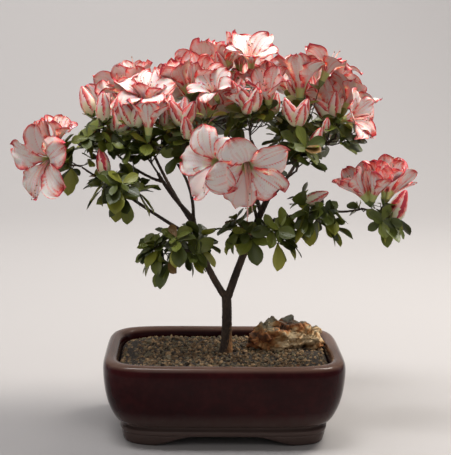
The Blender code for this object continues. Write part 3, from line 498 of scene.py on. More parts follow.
# %% The space that the limbs take
def make_tube(points, radii):
    """A tapering limb as a mesh: a curve with a round bevel, its caps welded on."""
    curve = bpy.data.curves.new("limb_guide", "CURVE")
    curve.dimensions = "3D"
    curve.bevel_depth = MM
    curve.bevel_resolution = 1
    curve.use_fill_caps = True
    spline = curve.splines.new("POLY")
    spline.points.add(len(points) - 1)
    for control, point, radius in zip(spline.points, points, radii):
        control.co = (*point, 1.0)
        control.radius = radius / MM
    guide = bpy.data.objects.new("limb_guide", curve)
    bpy.context.scene.collection.objects.link(guide)
    graph = bpy.context.evaluated_depsgraph_get()
    graph.update()
    mesh = bpy.data.meshes.new_from_object(guide.evaluated_get(graph))
    bpy.data.objects.remove(guide, do_unlink=True)
    bm = bmesh.new()
    bm.from_mesh(mesh)
    bmesh.ops.remove_doubles(bm, verts=bm.verts, dist=0.01 * MM)
    bmesh.ops.recalc_face_normals(bm, faces=bm.faces)
    return bm


def keep_out_tree(limbs):
    """One search tree of every limb with its clearance round it."""
    whole = bmesh.new()
    for points, radii in limbs.values():
        longer = list(points)
        longer[-1] = points[-1] + (points[-1] - points[-2]).normalized() * LIMB_CLEARANCE
        fatter = [radius + LIMB_CLEARANCE / math.cos(math.pi / 6) for radius in radii]
        tube = make_tube(longer, fatter)
        mesh = bpy.data.meshes.new("limb_space")
        tube.to_mesh(mesh)
        tube.free()
        whole.from_mesh(mesh)
    tree = BVHTree.FromBMesh(whole)
    whole.free()
    return tree


limb_space = keep_out_tree(limbs)
print("space is kept clear round", len(limbs), "limbs")

# %% Simple buds and flowers that search for room
def bud_shape(bm):
    """A pointed spindle along +Z, one long and one wide, fattest below its middle."""
    corners = bmesh.ops.create_uvsphere(bm, u_segments=5, v_segments=3, radius=1.0)["verts"]
    for vertex in corners:
        height = (vertex.co.z + 1) / 2
        swell = 1.3 - 0.5 * height
        vertex.co = Vector((vertex.co.x * swell, vertex.co.y * swell, height))


def lobed_ring(lobe, scale):
    """One ring round a flower: the outline of a petal, repeated five times."""
    ring = []
    for petal in range(5):
        for share, radius, height in lobe:
            angle = math.tau * (petal + share) / 5
            ring.append(Vector((radius * math.cos(angle), radius * math.sin(angle), height)) * scale)
    return ring


def nearest_corner(point, centre, few, few_centre):
    """The corner of the smaller ring that faces the same way from its centre as the point."""
    way = point - centre
    return max(range(len(few)), key=lambda place: way.dot((few[place].co - few_centre).normalized()))


def loft_unlike(bm, rings):
    """A closed skin through rings that may differ in their number of points."""
    loops = [[bm.verts.new(point) for point in ring] for ring in rings]
    centres = [sum(ring, Vector()) / len(ring) for ring in rings]
    for place in range(len(loops) - 1):
        few, many = loops[place:place + 2]
        few_centre, centre = centres[place:place + 2]
        if len(few) > len(many):
            few, many, few_centre, centre = many, few, centre, few_centre
        if len(few) == len(many):
            nearest = list(range(len(few)))
        else:
            centre = few_centre if len(few) > 1 else centre
            nearest = [nearest_corner(corner.co, centre, few, few_centre) for corner in many]
        for step, corner in enumerate(many):
            following = many[(step + 1) % len(many)]
            near = nearest[step]
            bm.faces.new((few[near], corner, following))
            while near != nearest[(step + 1) % len(many)]:
                after = (near + 1) % len(few)
                bm.faces.new((few[near], following, few[after]))
                near = after
    for end in (loops[0], loops[-1]):
        if len(end) > 2:
            bm.faces.new(end)


def flower_shape(bm, lobe):
    """A tube that widens into five joined lobes, hollow down to its throat."""
    tube = [[(TUBE_TURN, radius, height)] for radius, height in TUBE_RINGS]
    rings = [lobed_ring(outline, MM) for outline in (*tube, lobe)]
    throat_radius, throat_height = THROAT_RING
    rings.append(lobed_ring([(TUBE_TURN, throat_radius, throat_height)], MM))
    loft_unlike(bm, rings)


print("a simple flower is lofted through", len(TUBE_RINGS), "rings of its tube")

# %% Simple whorls and twigs that search for room
def whorl_rim(foot, axis, leaves):
    """The outline of a whorl: each leaf's sides and tip, with notches up to the next leaf.

    Each leaf is its turn about the axis, its tilt from it and its length.
    """
    rim = []
    for place, (spin, tilt, length) in enumerate(leaves):
        out = facing(axis, spin) @ Vector((math.sin(tilt), 0, math.cos(tilt)))
        side = axis.cross(out).normalized() * (length * LEAF_WIDTH / 2)
        widest = foot + out * (length * LEAF_WIDEST)
        tip = foot + (out - axis * LEAF_DROOP) * length
        rim += [widest - side, tip, widest + side]
        following = leaves[place + 1][0] if place + 1 < len(leaves) else leaves[0][0] + math.tau
        notches = max(1, round((following - spin) / math.tau * 5))
        for notch in range(notches):
            turn = spin + (following - spin) * (notch + 1) / (notches + 1)
            rim.append(foot + facing(axis, turn) @ Vector((WHORL_HUB, 0, 0)))
    return rim


def leaf_bmesh(foot, axis, leaf):
    """One leaf of a whorl by itself, to try whether there is room for it."""
    bm = bmesh.new()
    thick = axis * WHORL_HALF_THICKNESS
    loft_unlike(bm, [[foot - thick], whorl_rim(foot, axis, [leaf]), [foot + thick]])
    return bm


def flower_bmesh(flower):
    kind, foot, direction, spin, size = flower
    bm = bmesh.new()
    if kind == "B":
        bud_shape(bm)
        bmesh.ops.scale(bm, vec=(BUD_RADIUS, BUD_RADIUS, BUD_LENGTH), verts=bm.verts)
    else:
        flower_shape(bm, OPEN_LOBE if kind == "O" else HALF_OPEN_LOBE)
    turn = facing(direction, spin)
    for vertex in bm.verts:
        vertex.co = foot + turn @ (vertex.co * size)
    return bm


def triangle_ring(centre, direction, radius):
    turn = facing(direction, 0.0)
    return [centre + turn @ Vector((math.cos(corner), math.sin(corner), 0)) * radius
            for corner in (0, math.tau / 3, 2 * math.tau / 3)]


def twig_bmesh(twig):
    """A three-sided tapering twig, with its whorl of leaves grown out of it.

    The blades are thin at their rims and run into the twig, so twig and leaves are one skin.
    """
    points, radii, whorl = twig
    ways = [(after - before).normalized() for before, after in zip(points, points[1:])]
    ways.append(ways[-1])
    rings = [triangle_ring(*ring) for ring in zip(points, ways, radii)]
    if whorl:
        foot, axis, leaves = whorl
        thick = axis * WHORL_HALF_THICKNESS
        tip = rings.pop()
        rings.append(triangle_ring(foot - thick, axis, radii[-1]))
        rings.append(whorl_rim(foot, axis, leaves))
        if (points[-1] - foot).dot(ways[-1]) > 2 * WHORL_HALF_THICKNESS:
            rings += [triangle_ring(foot + thick, axis, radii[-1]), tip]
        else:
            rings.append([foot + thick])
    bm = bmesh.new()
    loft_unlike(bm, rings)
    return bm



print("a simple twig has", TWIG_STEPS, "steps")

# %% The search for room
def crosses_itself(bm):
    """Whether two faces that share no corner meet."""
    bmesh.ops.triangulate(bm, faces=bm.faces)
    bm.faces.ensure_lookup_table()
    tree = BVHTree.FromBMesh(bm)
    return any(not set(bm.faces[first].verts) & set(bm.faces[second].verts)
               for first, second in tree.overlap(tree))


def swollen_copy(bm):
    """The same piece, thicker all over by the gap that masses keep between them."""
    swollen = bm.copy()
    swollen.normal_update()
    for vertex, push in [(vertex, vertex.normal.copy()) for vertex in swollen.verts]:
        vertex.co += push * MASS_GAP
    return swollen


class Crown:
    """Keeps account of the room in the crown: what the limbs and each mass already fill."""

    def __init__(self, limb_tree):
        self.limb_tree = limb_tree
        self.centres = np.array([centre for _, _, centre, _, _ in MASSES]) * MM
        self.reaches = np.array([sum(half_sizes) / 3 for _, _, _, half_sizes, _ in MASSES]) * MM
        self.boxes = []
        self.trees = []
        self.owners = []

    def in_own_cell(self, bm, index):
        """Whether a piece lies nearer its own mass's centre than any other, by their reaches."""
        points = np.array([vertex.co for vertex in bm.verts])
        apart = points[:, None, :] - self.centres[None, :, :]
        power = (apart ** 2).sum(axis=2) - self.reaches ** 2
        return bool((power.argmin(axis=1) == index).all())

    def has_room(self, bm, joined):
        """Whether a piece is clear of the limbs and of every piece but those it joins."""
        swollen = swollen_copy(bm)
        tree = BVHTree.FromBMesh(swollen)
        points = np.array([vertex.co for vertex in swollen.verts])
        swollen.free()
        if tree.overlap(self.limb_tree):
            return False
        low, high = points.min(axis=0), points.max(axis=0)
        for place, (other_low, other_high) in enumerate(self.boxes):
            if place in joined or (low > other_high).any() or (high < other_low).any():
                continue
            if tree.overlap(self.trees[place]):
                return False
        return True

    def claim(self, bm, index):
        """Enter a piece of a mass as filled, and give its number."""
        points = np.array([vertex.co for vertex in bm.verts])
        self.boxes.append((points.min(axis=0), points.max(axis=0)))
        self.trees.append(BVHTree.FromBMesh(bm))
        self.owners.append(index)
        return len(self.trees) - 1

    def pieces_of(self, index):
        """The numbers of all the pieces that a mass has so far."""
        return {place for place, owner in enumerate(self.owners) if owner == index}


crown = Crown(limb_space)
print("room is shared by", len(crown.centres), "masses")

# %% Where twigs, leaves and flowers point
def whorl_leaves(count, size, rng):
    """Leaves spread evenly round a twig, each with its own tilt and length."""
    start = rng.uniform(0, math.tau)
    leaves = []
    for place in range(count):
        spin = start + (place + rng.uniform(-0.08, 0.08)) * math.tau / count
        tilt = math.radians(rng.uniform(50, 88))
        leaves.append((spin, tilt, LEAF_LENGTH * size * rng.uniform(0.72, 1.12)))
    return leaves


def truss_flowers(foot, axis, kinds, turn, size):
    """The flowers of one cluster, fanned evenly round the way it faces."""
    flowers = []
    for place, kind in enumerate(kinds):
        tilt = math.radians(0 if len(kinds) == 1 else TRUSS_SPREAD)
        spin = math.radians(turn) + place * math.tau / len(kinds)
        way = facing(axis, spin) @ Vector((math.sin(tilt), 0, math.cos(tilt)))
        flowers.append((kind, foot - way * FLOWER_SUNK, way, math.radians(turn), size))
    return flowers


def grow_twig(stem, target, share, rng):
    """A twig from the stem that leaves low and rises to its target."""
    start = point_along(stem, share)
    length = (target - start).length
    sway = Vector((rng.uniform(-1, 1), rng.uniform(-1, 1), 0)) * 0.07 * length
    points = bowed_path(start, target, sway + Vector((0, 0, -0.10 * length)), TWIG_STEPS)
    radii = [TWIG_RADIUS + (TWIG_TIP_RADIUS - TWIG_RADIUS) * step / TWIG_STEPS
             for step in range(TWIG_STEPS + 1)]
    return points, radii, None


def grow_stem(index, limbs):
    """The stem of a mass, from just off its bough's tip to below the middle of the mass."""
    _, bough, centre, half_sizes, _ = MASSES[index]
    points, _ = limbs[bough]
    along = (points[-1] - points[-2]).normalized()
    foot = points[-1] + along * GAP
    bend = foot + along * STEM_RADIUS
    hub = Vector(centre) * MM - Vector((0, 0, 0.25 * half_sizes[2] * MM))
    stem = [foot] + bowed_path(bend, hub, along * (hub - foot).length * 0.12, STEM_STEPS)
    radii = [STEM_RADIUS + (TWIG_RADIUS - STEM_RADIUS) * step / STEM_STEPS
             for step in range(STEM_STEPS + 1)]
    return stem, [STEM_RADIUS] + radii, None


def leafy_targets(index, rng):
    """Evenly spread places near the mass's outer surface, from its underside up."""
    _, _, centre, half_sizes, count = MASSES[index]
    start = rng.uniform(0, math.tau)
    targets = []
    for place in range(count):
        height = LEAF_BAND[0] + (LEAF_BAND[1] - LEAF_BAND[0]) * (place + 0.5) / count
        around = start + place * GOLDEN_ANGLE
        across = math.sqrt(1 - height * height)
        way = (across * math.cos(around), across * math.sin(around), height)
        reach = rng.uniform(0.55, 0.80)
        targets.append(Vector([c + w * h * reach for c, w, h in zip(centre, way, half_sizes)]) * MM)
    return targets


print("leafy tips turn by", round(math.degrees(GOLDEN_ANGLE), 1), "degrees")

# %% The growing rule
def grow_whorl(twig, below_tip, count, size, rng, index, crown, joined):
    """Give a twig its whorl, turned up to the light, with the leaves that there is room for."""
    points, radii, _ = twig
    along = (points[-1] - points[-2]).normalized()
    axis = (along + Vector((0, 0, LIGHT_PULL))).normalized()
    foot = points[-1] - along * below_tip
    leaves = []
    for leaf in whorl_leaves(count, size, rng):
        bm = leaf_bmesh(foot, axis, leaf)
        if crown.in_own_cell(bm, index) and crown.has_room(bm, joined):
            if not crosses_itself(twig_bmesh((points, radii, (foot, axis, leaves + [leaf])))):
                leaves.append(leaf)
    return points, radii, (foot, axis, leaves) if leaves else None


def grow_clear_twig(target, index, mass, crown, rng, own_cell):
    """A twig to the target from the first place on the stem where it comes clear, or None."""
    for _ in range(TWIG_TRIES):
        twig = grow_twig(mass["twigs"][0][0], target, rng.uniform(0.4, 0.98), rng)
        bm = twig_bmesh(twig)
        if own_cell and not crown.in_own_cell(bm, index):
            continue
        if crown.has_room(bm, {mass["stem"]}) and not crosses_itself(bm):
            return twig
    return None


def leaves_below_clusters(carriers, masses, crown):
    """A whorl of leaves on each twig that carries a cluster of flowers."""
    for index, twig, joined, rng in carriers:
        whorled = grow_whorl(twig, TRUSS_LEAVES_BELOW, TRUSS_LEAVES, TRUSS_LEAF_SIZE, rng, index,
                             crown, joined)
        masses[index]["twigs"].append(whorled)
        crown.claim(twig_bmesh(whorled), index)


def grow_crown(limbs, crown):
    """Every mass's twigs, leaves and flowers, each kept only where there is room for it."""
    masses = []
    for index in range(len(MASSES)):
        stem = grow_stem(index, limbs)
        number = crown.claim(twig_bmesh(stem), index)
        masses.append({"stem": number, "twigs": [stem], "flowers": []})
    carriers = [carrier for order, truss in enumerate(TRUSSES)
                for carrier in grow_truss(order, truss, masses, crown)]
    leaves_below_clusters(carriers, masses, crown)
    for index, mass in enumerate(masses):
        rng = random.Random(MASSES[index][0])
        for target in leafy_targets(index, rng):
            size = rng.uniform(0.9, 1.15)
            twig = grow_clear_twig(target, index, mass, crown, rng, True)
            if twig:
                whorled = grow_whorl(twig, WHORL_SUNK, TWIG_LEAVES, size, rng, index, crown,
                                     {mass["stem"]})
                mass["twigs"].append(whorled)
                crown.claim(twig_bmesh(whorled), index)
    return masses


def grow_truss(order, truss, masses, crown):
    """A twig that carries a cluster of flowers; a flower without room grows smaller or not at all."""
    name, foot, turn, rise, kinds, ring_turn, size = truss
    index = [row[0] for row in MASSES].index(name)
    mass = masses[index]
    rng = random.Random(order)
    foot = Vector(foot) * MM
    axis = heading(turn, rise)
    twig = grow_clear_twig(foot, index, mass, crown, rng, False)
    if not twig:
        return []
    joined = {mass["stem"], crown.claim(twig_bmesh(twig), index)}
    for kind, base, way, spin, grown in truss_flowers(foot, axis, kinds, ring_turn, size):
        for share in FLOWER_SIZES:
            flower = (kind, base, way, spin, grown * share)
            bm = flower_bmesh(flower)
            if crown.has_room(bm, crown.pieces_of(index)):
                mass["flowers"].append(flower)
                crown.claim(bm, index)
                break
    return [(index, twig, joined, rng)]



print("a twig gets", TWIG_TRIES, "tries to find room")

# %% Grow every mass
LATE_MASSES = ("mass_far_left", "mass_left", "mass_mid_left", "mass_top", "mass_right",
               "mass_far_right", "mass_back_left", "mass_back", "mass_back_right")
masses = grow_crown(limbs, crown)
LATE_TRIES = 14
LATE_NUMBERS = 100
LATE_KINDS = ("B", "BB", "BBB", "H", "HB", "HBB")


def fill_out(index):
    """Late clusters on the outside of a mass, set by the same rule wherever it finds room."""
    name, _, centre, half_sizes, _ = MASSES[index]
    rng = random.Random("late " + name)
    carriers = []
    for attempt in range(LATE_TRIES):
        turn, rise = rng.uniform(0, 360), rng.uniform(0, 75)
        reach = rng.uniform(0.5, 0.9)
        foot = [c + w * h * reach for c, w, h in zip(centre, heading(turn, rise), half_sizes)]
        truss = (name, foot, turn, rng.uniform(50, 85), rng.choice(LATE_KINDS), rng.uniform(0, 360),
                 rng.uniform(0.85, 1.1))
        carriers += grow_truss(LATE_NUMBERS * (index + 1) + attempt, truss, masses, crown)
    leaves_below_clusters(carriers, masses, crown)


for index, (name, *_) in enumerate(MASSES):
    if name in LATE_MASSES:
        fill_out(index)
for (name, *_), mass in zip(MASSES, masses):
    leaves = sum(len(whorl[2]) for _, _, whorl in mass["twigs"] if whorl)
    print(name, len(mass["twigs"]), "twigs", leaves, "leaves", len(mass["flowers"]), "flowers")

# %% [markdown]
# ## Tools for making pieces
# A piece that is made by hand starts as a bmesh. Leaves, twigs and petals are many copies of one
# small template, so their points are worked out together as arrays and joined in one mesh for
# each mass and kind. A finished piece is moved from the middle of the pot to its packed place.

# %% Finished pieces
def finish_piece(name, mesh, finishes, nodes):
    """Give a mesh its finishes and its place in the frame, as a piece on the one body."""
    for finish in finishes:
        mesh.materials.append(finish)
    mesh.transform(Matrix.Translation(POT_CENTRE))
    piece = bpy.data.objects.new(name, mesh)
    bpy.context.scene.collection.objects.link(piece)
    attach(piece, "root")
    if nodes:
        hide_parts(*nodes)
    mesh.calc_loop_triangles()
    print(name, len(mesh.loop_triangles), "triangles")


def mark_facing(bm):
    """Leave a mark on every point of the way it faces, for the moss on the rock and the painted
    highlight on the pot's rim.
    """
    bm.normal_update()
    mark = bm.verts.layers.float_vector.new("facing")
    for vertex in bm.verts:
        vertex[mark] = vertex.normal


def bmesh_piece(name, bm, finishes, nodes):
    for face in bm.faces:
        face.smooth = True
    mesh = bpy.data.meshes.new(name)
    bm.to_mesh(mesh)
    bm.free()
    finish_piece(name, mesh, finishes, nodes)


print("finished pieces get their finishes, their place and a body")

# %% Joined copies of a template
def as_template(bm):
    """A bmesh as two arrays: its points, and its triangles by point number."""
    bmesh.ops.triangulate(bm, faces=bm.faces)
    bm.verts.index_update()
    points = np.array([vertex.co for vertex in bm.verts])
    faces = np.array([[vertex.index for vertex in face.verts] for face in bm.faces])
    bm.free()
    return points, faces


class Joined:
    """Copies of templates, gathered into one mesh with a finish for every face."""

    def __init__(self):
        self.points, self.faces, self.slots, self.flat = [], [], [], []
        self.count = 0

    def add(self, points, faces, slots=0, flat=None):
        self.points.append(points)
        self.faces.append(faces + self.count)
        self.slots.append(np.broadcast_to(slots, len(faces)))
        self.flat.append(np.zeros((len(points), 2)) if flat is None else flat)
        self.count += len(points)

    def make(self, name, finishes, slot, nodes=(), smooth=True):
        points, faces, flat = (np.vstack(part) for part in (self.points, self.faces, self.flat))
        mesh = bpy.data.meshes.new(name)
        mesh.from_pydata(points.tolist(), [], faces.tolist())
        mesh.polygons.foreach_set("material_index", np.concatenate(self.slots).astype(np.int32))
        mesh.polygons.foreach_set("use_smooth", np.full(len(faces), smooth))
        chart = mesh.uv_layers.new(name="chart")
        chart.data.foreach_set("uv", flat[faces.ravel()].astype(np.float32).ravel())
        finish_piece(name, mesh, finishes, nodes)


print("copies of a template are joined into one mesh")

# %% Swept tubes
def smooth_path(points, count):
    """Evenly numbered places on a smooth curve through the given points."""
    points = np.asarray(points, dtype=float)
    ends = np.vstack([2 * points[0] - points[1], points, 2 * points[-1] - points[-2]])
    place = np.linspace(0, len(points) - 1, count)
    first = np.minimum(place.astype(int), len(points) - 2)
    step = (place - first)[:, None]
    before, start, finish, after = (ends[first + shift] for shift in range(4))
    return 0.5 * (2 * start + (finish - before) * step
                  + (2 * before - 5 * start + 4 * finish - after) * step ** 2
                  + (3 * start - before - 3 * finish + after) * step ** 3)


def tube_template(sides, steps):
    """A capped tube one high and one in radius, with rings cut between its ends."""
    bm = bmesh.new()
    bmesh.ops.create_cone(bm, cap_ends=True, segments=sides, radius1=1, radius2=1, depth=1)
    bmesh.ops.translate(bm, vec=(0, 0, 0.5), verts=bm.verts)
    for step in range(1, steps):
        geometry = bm.verts[:] + bm.edges[:] + bm.faces[:]
        bmesh.ops.bisect_plane(bm, geom=geometry, plane_co=(0, 0, step / steps), plane_no=(0, 0, 1))
    return as_template(bm)


def swept(template, path, radii):
    """The tube template bent along a path, with the radius given at each place of it."""
    unit, faces = template
    path = np.asarray(path, dtype=float)
    numbers = np.arange(len(path))
    place = unit[:, 2] * (len(path) - 1)
    tangents = np.gradient(path, axis=0)
    spread = np.column_stack([path, tangents, np.asarray(radii)])
    spread = np.column_stack([np.interp(place, numbers, column) for column in spread.T])
    centre, tangent, radius = spread[:, :3], spread[:, 3:6], spread[:, 6:]
    tangent /= np.linalg.norm(tangent, axis=1)[:, None]
    guide = np.eye(3)[np.abs(path[-1] - path[0]).argmin()]
    first = np.cross(tangent, guide)
    first /= np.linalg.norm(first, axis=1)[:, None]
    second = np.cross(tangent, first)
    return centre + (first * unit[:, :1] + second * unit[:, 1:2]) * radius, faces


print("paths are swept into tubes")

# %% [markdown]
# ## Foliage
# An azalea leaf is a narrow oval, widest past its middle, folded a little along its rib. One grid
# of a few faces makes it: the columns follow the outline and the rows run from stalk to tip. Leaves
# sit in whorls at the ends of twigs, so extra whorls along each twig thicken the same masses.

# %% The leaf template
LEAF_COLUMNS, LEAF_ROWS = 4, 8
LEAF_BREADTH = 0.55
LEAF_STALK_SHARE = 0.07


def grid_template(columns, rows):
    """A flat grid from -1 to 1 across and 0 to 1 along."""
    bm = bmesh.new()
    bmesh.ops.create_grid(bm, x_segments=columns, y_segments=rows, size=1.0)
    points, faces = as_template(bm)
    return points[:, 0], (points[:, 1] + 1) / 2, faces


leaf_across, leaf_along, leaf_faces = grid_template(LEAF_COLUMNS, LEAF_ROWS)
leaf_outline = np.maximum(np.sin(math.pi * leaf_along ** 1.5) ** 0.62, LEAF_STALK_SHARE)
leaf_chart = np.column_stack([leaf_across, leaf_along])


def leaf_points(foot, axis, out, length, rng):
    """The points of one leaf: its outline, the fold at its rib, its droop and a slight twist."""
    out, axis = np.array(out), np.array(axis)
    side = np.cross(axis, out)
    side /= np.linalg.norm(side)
    face_up = np.cross(out, side)
    twist = rng.uniform(-0.35, 0.35) * leaf_along
    across = leaf_across * leaf_outline * LEAF_BREADTH / 2 * rng.uniform(0.88, 1.12)
    fold = np.abs(across) * rng.uniform(0.10, 0.40)
    wave = 0.016 * np.sin(leaf_along * 9 + rng.uniform(0, 6)) * leaf_across
    lift = fold + wave - LEAF_DROOP * rng.uniform(0.2, 1.5) * leaf_along ** 2
    sideways = across * np.cos(twist) - lift * np.sin(twist) * 0.5
    upwards = lift + across * np.sin(twist)
    return np.array(foot) + length * (leaf_along[:, None] * out + sideways[:, None] * side
                                      + upwards[:, None] * face_up)



print("leaf has", len(leaf_faces), "faces")

# %% Leaf and twig finishes
# The first five greens are one green in steps from painted shade to painted light, which leaves take by
# their height in a mass. The last is a leaf's own bronze.
LEAF_GREENS = (
    ("leaf_deep", (0.041, 0.053, 0.010), 0.42), ("leaf_dark", (0.075, 0.094, 0.014), 0.42),
    ("leaf_mid", (0.147, 0.172, 0.022), 0.42), ("leaf_olive", (0.235, 0.245, 0.028), 0.45),
    ("leaf_palest", (0.370, 0.360, 0.055), 0.48), ("leaf_bronze", (0.190, 0.105, 0.030), 0.45),
)
LEAF_RIB_SHARE = 0.16


def leaf_finish(name, colour, roughness):
    """One green, with a rib and side veins as relief and a sheen that changes from spot to spot."""
    finish = Finish(name, colour, roughness)
    chart = finish.node("ShaderNodeUVMap", {"uv_map": "chart"})
    across, along = (finish.node("ShaderNodeSeparateXYZ", {}, [chart], output=axis) for axis in (0, 1))
    away = finish.node("ShaderNodeMath", {"operation": "ABSOLUTE"}, [across])
    rib = finish.between(away, 0.0, LEAF_RIB_SHARE)
    veins = finish.node("ShaderNodeMath", {"operation": "SINE"}, [(along - away * 0.35) * 52.0])
    finish.put(finish.shader, "Roughness", finish.speckle(300.0) * 0.25 + (roughness - 0.12))
    finish.relief(rib * 0.8 + veins * 0.12 + finish.speckle(1400.0) * 0.3, 0.5, 0.25 * MM)
    return finish.material


leaf_finishes = [leaf_finish(*row) for row in LEAF_GREENS]
twig_finish = Finish("twig_bark", (0.060, 0.040, 0.028), 0.75)
twig_finish.relief(twig_finish.speckle(2200.0, stretch=(1, 1, 0.3)), 0.6, 0.2 * MM)
shoot_finish = Finish("green_shoot", (0.085, 0.095, 0.035), 0.6)
shoot_finish.relief(shoot_finish.speckle(2600.0), 0.4, 0.15 * MM)
print(len(leaf_finishes), "greens, twig bark and green shoots")

# %% Leaf shades and room for leaves
TWIG_SIDES, TWIG_RINGS = 6, 7
EXTRA_WHORLS = 2
MASS_REACH = 1.1
BRONZE_SHARE, BRONZE_SHADE, PALEST_SHADE = 0.02, 5, 4
HANGING_MASSES = ("mass_left_tip", "mass_left_mid", "mass_low_left", "mass_low_centre",
                  "mass_right_low", "mass_right_tip")
HANGING_LENGTH = (19 * MM, 25 * MM)
twig_tube = tube_template(TWIG_SIDES, TWIG_RINGS)


def flower_spaces(mass):
    """Search trees of a mass's flowers, so that an extra leaf keeps out of them."""
    return [BVHTree.FromBMesh(flower_bmesh(flower)) for flower in mass["flowers"]]


def leaf_is_clear(points, faces, spaces):
    tree = BVHTree.FromPolygons(points.tolist(), faces.tolist())
    return not any(tree.overlap(space) for space in spaces)


def leaf_green_in_painted_light(point, centre, half_sizes, rng):
    """A leaf's green by its height in the mass: painted shade low down, painted light at the top, and
    now and then a bronze leaf.
    """
    # Painted light and shade: the step of green rises with the leaf's height in the mass.
    height = (point[2] / MM - centre[2]) / half_sizes[2]
    step = 1.8 + 1.1 * height + rng.gauss(0, 0.8)
    if rng.random() < BRONZE_SHARE:
        return BRONZE_SHADE
    return int(min(max(step, 0), PALEST_SHADE))


print("twig has", len(twig_tube[1]), "faces")

# %% Leaves and twigs of every mass
def dress_leaves(index, mass, all_spaces):
    name, _, centre, half_sizes, _ = MASSES[index]
    label = name.removeprefix("mass_")
    rng = random.Random("leaves " + name)
    leaves, twigs = Joined(), Joined()
    kept = 0

    def put_leaf(foot, axis, leaf, check):
        spin, tilt, length = leaf
        out = facing(axis, spin) @ Vector((math.sin(tilt), 0, math.cos(tilt)))
        points = leaf_points(foot, axis, out, length, rng)
        if check and not leaf_is_clear(points, leaf_faces, all_spaces):
            return 0
        shade = leaf_green_in_painted_light(points.mean(axis=0), centre, half_sizes, rng)
        leaves.add(points, leaf_faces, shade, leaf_chart)
        return 1

    for points, radii, whorl in mass["twigs"]:
        path = smooth_path(points, TWIG_RINGS + 1)
        girth = np.interp(np.linspace(0, 1, TWIG_RINGS + 1), np.linspace(0, 1, len(radii)), radii)
        knots = 1 + 0.14 * np.array([rng.uniform(-1, 1) for _ in girth])
        twigs.add(*swept(twig_tube, path, girth * knots))
        if whorl:
            foot, axis, rows = whorl
            for leaf in rows:
                kept += put_leaf(foot, axis, leaf, False)
        for extra in range(EXTRA_WHORLS):
            share = 0.98 - 0.22 * extra - rng.uniform(0, 0.12)
            foot = Vector(path[int(share * TWIG_RINGS)])
            along = Vector(path[-1] - path[-2]).normalized()
            lean = Vector([rng.uniform(-0.7, 0.7) for _ in range(3)])
            axis = (along + lean + Vector((0, 0, LIGHT_PULL))).normalized()
            reach = rng.uniform(3, 9) * MM
            tip = foot + axis * reach
            inside = sum(((t / MM - c) / half) ** 2 for t, c, half in zip(tip, centre, half_sizes))
            if inside > MASS_REACH:
                continue
            shoot = smooth_path([foot, foot.lerp(tip, 0.5) + lean * MM * 0.6, tip], TWIG_RINGS + 1)
            size = rng.uniform(0.6, 0.95)
            for leaf in whorl_leaves(rng.choice((3, 4, 5)), size, rng):
                kept += put_leaf(tip, axis, leaf, True)
            twigs.add(*swept(twig_tube, shoot, np.linspace(0.42, 0.3, TWIG_RINGS + 1) * MM), 1)
        if name in HANGING_MASSES and whorl:
            foot = Vector(path[TWIG_RINGS - 1])
            outward = Vector((foot.x / MM - centre[0], foot.y / MM - centre[1], 0)).normalized()
            for _ in range(2):
                lean = Vector([rng.uniform(-0.5, 0.5), rng.uniform(-0.5, 0.5), 0])
                out = (outward * 0.5 + lean - up_axis).normalized()
                points = leaf_points(foot, outward + lean + up_axis, out,
                                     rng.uniform(*HANGING_LENGTH), rng)
                if leaf_is_clear(points, leaf_faces, all_spaces):
                    leaves.add(points, leaf_faces, rng.choice((1, 2, 3, 3, 4)), leaf_chart)
                    kept += 1
    leaves.make("leaves_" + label, leaf_finishes, "leaf_and_blossom", [name])
    twigs.make("twigs_" + label, [twig_finish.material, shoot_finish.material], "leaf_and_blossom",
               [name])
    return kept


all_spaces = [space for mass in masses for space in flower_spaces(mass)]
total = sum(dress_leaves(index, mass, all_spaces) for index, mass in enumerate(masses))
print("leaves in all", total)

# %% [markdown]
# ## Blossom
# Each bloom is a short tube that opens into five broad lobes, with a red margin, a faint rib and a
# green throat. A petal is a grid bent along a profile. Its columns close up into the tube, and its
# edge ripples. The red margin is dealt out face by face from the distance to the petal's edge.

# %% Petal finishes
PETAL_COLOURS = (
    ("petal_white", (0.83, 0.750, 0.715), 0.64), ("petal_shade", (0.80, 0.640, 0.605), 0.64),
    ("petal_blush", (0.84, 0.510, 0.465), 0.58), ("petal_pink", (0.82, 0.315, 0.280), 0.55),
    ("petal_coral", (0.75, 0.135, 0.118), 0.52), ("petal_crimson", (0.47, 0.024, 0.048), 0.5),
    ("petal_throat", (0.50, 0.55, 0.20), 0.55), ("petal_cream", (0.78, 0.72, 0.52), 0.55),
    ("stamen_pink", (0.84, 0.46, 0.42), 0.5), ("anther", (0.20, 0.10, 0.06), 0.7),
    ("calyx_green", (0.17, 0.22, 0.06), 0.55),
)
(WHITE, SHADE, BLUSH, PINK, CORAL, CRIMSON, THROAT, CREAM, STAMEN, ANTHER,
 CALYX) = range(len(PETAL_COLOURS))


def petal_finish(name, colour, roughness):
    """One petal colour with a crisp, slightly dewy skin that light sinks into a little."""
    finish = Finish(name, colour, roughness, Subsurface_Weight=0.4, Subsurface_Scale=3 * MM)
    finish.relief(finish.speckle(1500.0) + finish.speckle(420.0) * 0.6, 0.35, 0.2 * MM)
    return finish.material


petal_finishes = [petal_finish(*row) for row in PETAL_COLOURS]
print(len(petal_finishes), "petal finishes")

# %% The petal
PETAL_COLUMNS, PETAL_ROWS = 20, 20
OPEN_PROFILE = ((2.3, 4.0), (4, 14), (9, 21), (18, 25), (27, 26.5), (32.6, 24.5))
HALF_PROFILE = ((2.3, 4.0), (4, 14), (7.4, 22), (9.6, 28), (11.4, 33), (13.0, 37))
# Half width of a petal (mm) at shares of its length; from the last but one its tip rounds off.
WIDTH_SHARES = (0.39, 0.53, 0.67, 0.81, 1.0)
OPEN_WIDTHS = (5.4, 10.4, 14.2, 15.6, 15.0)
HALF_WIDTHS = (4.9, 7.8, 9.8, 10.8, 10.4)
TIP_SHARE = 0.71
TUBE_HALF_ANGLE = math.radians(37)

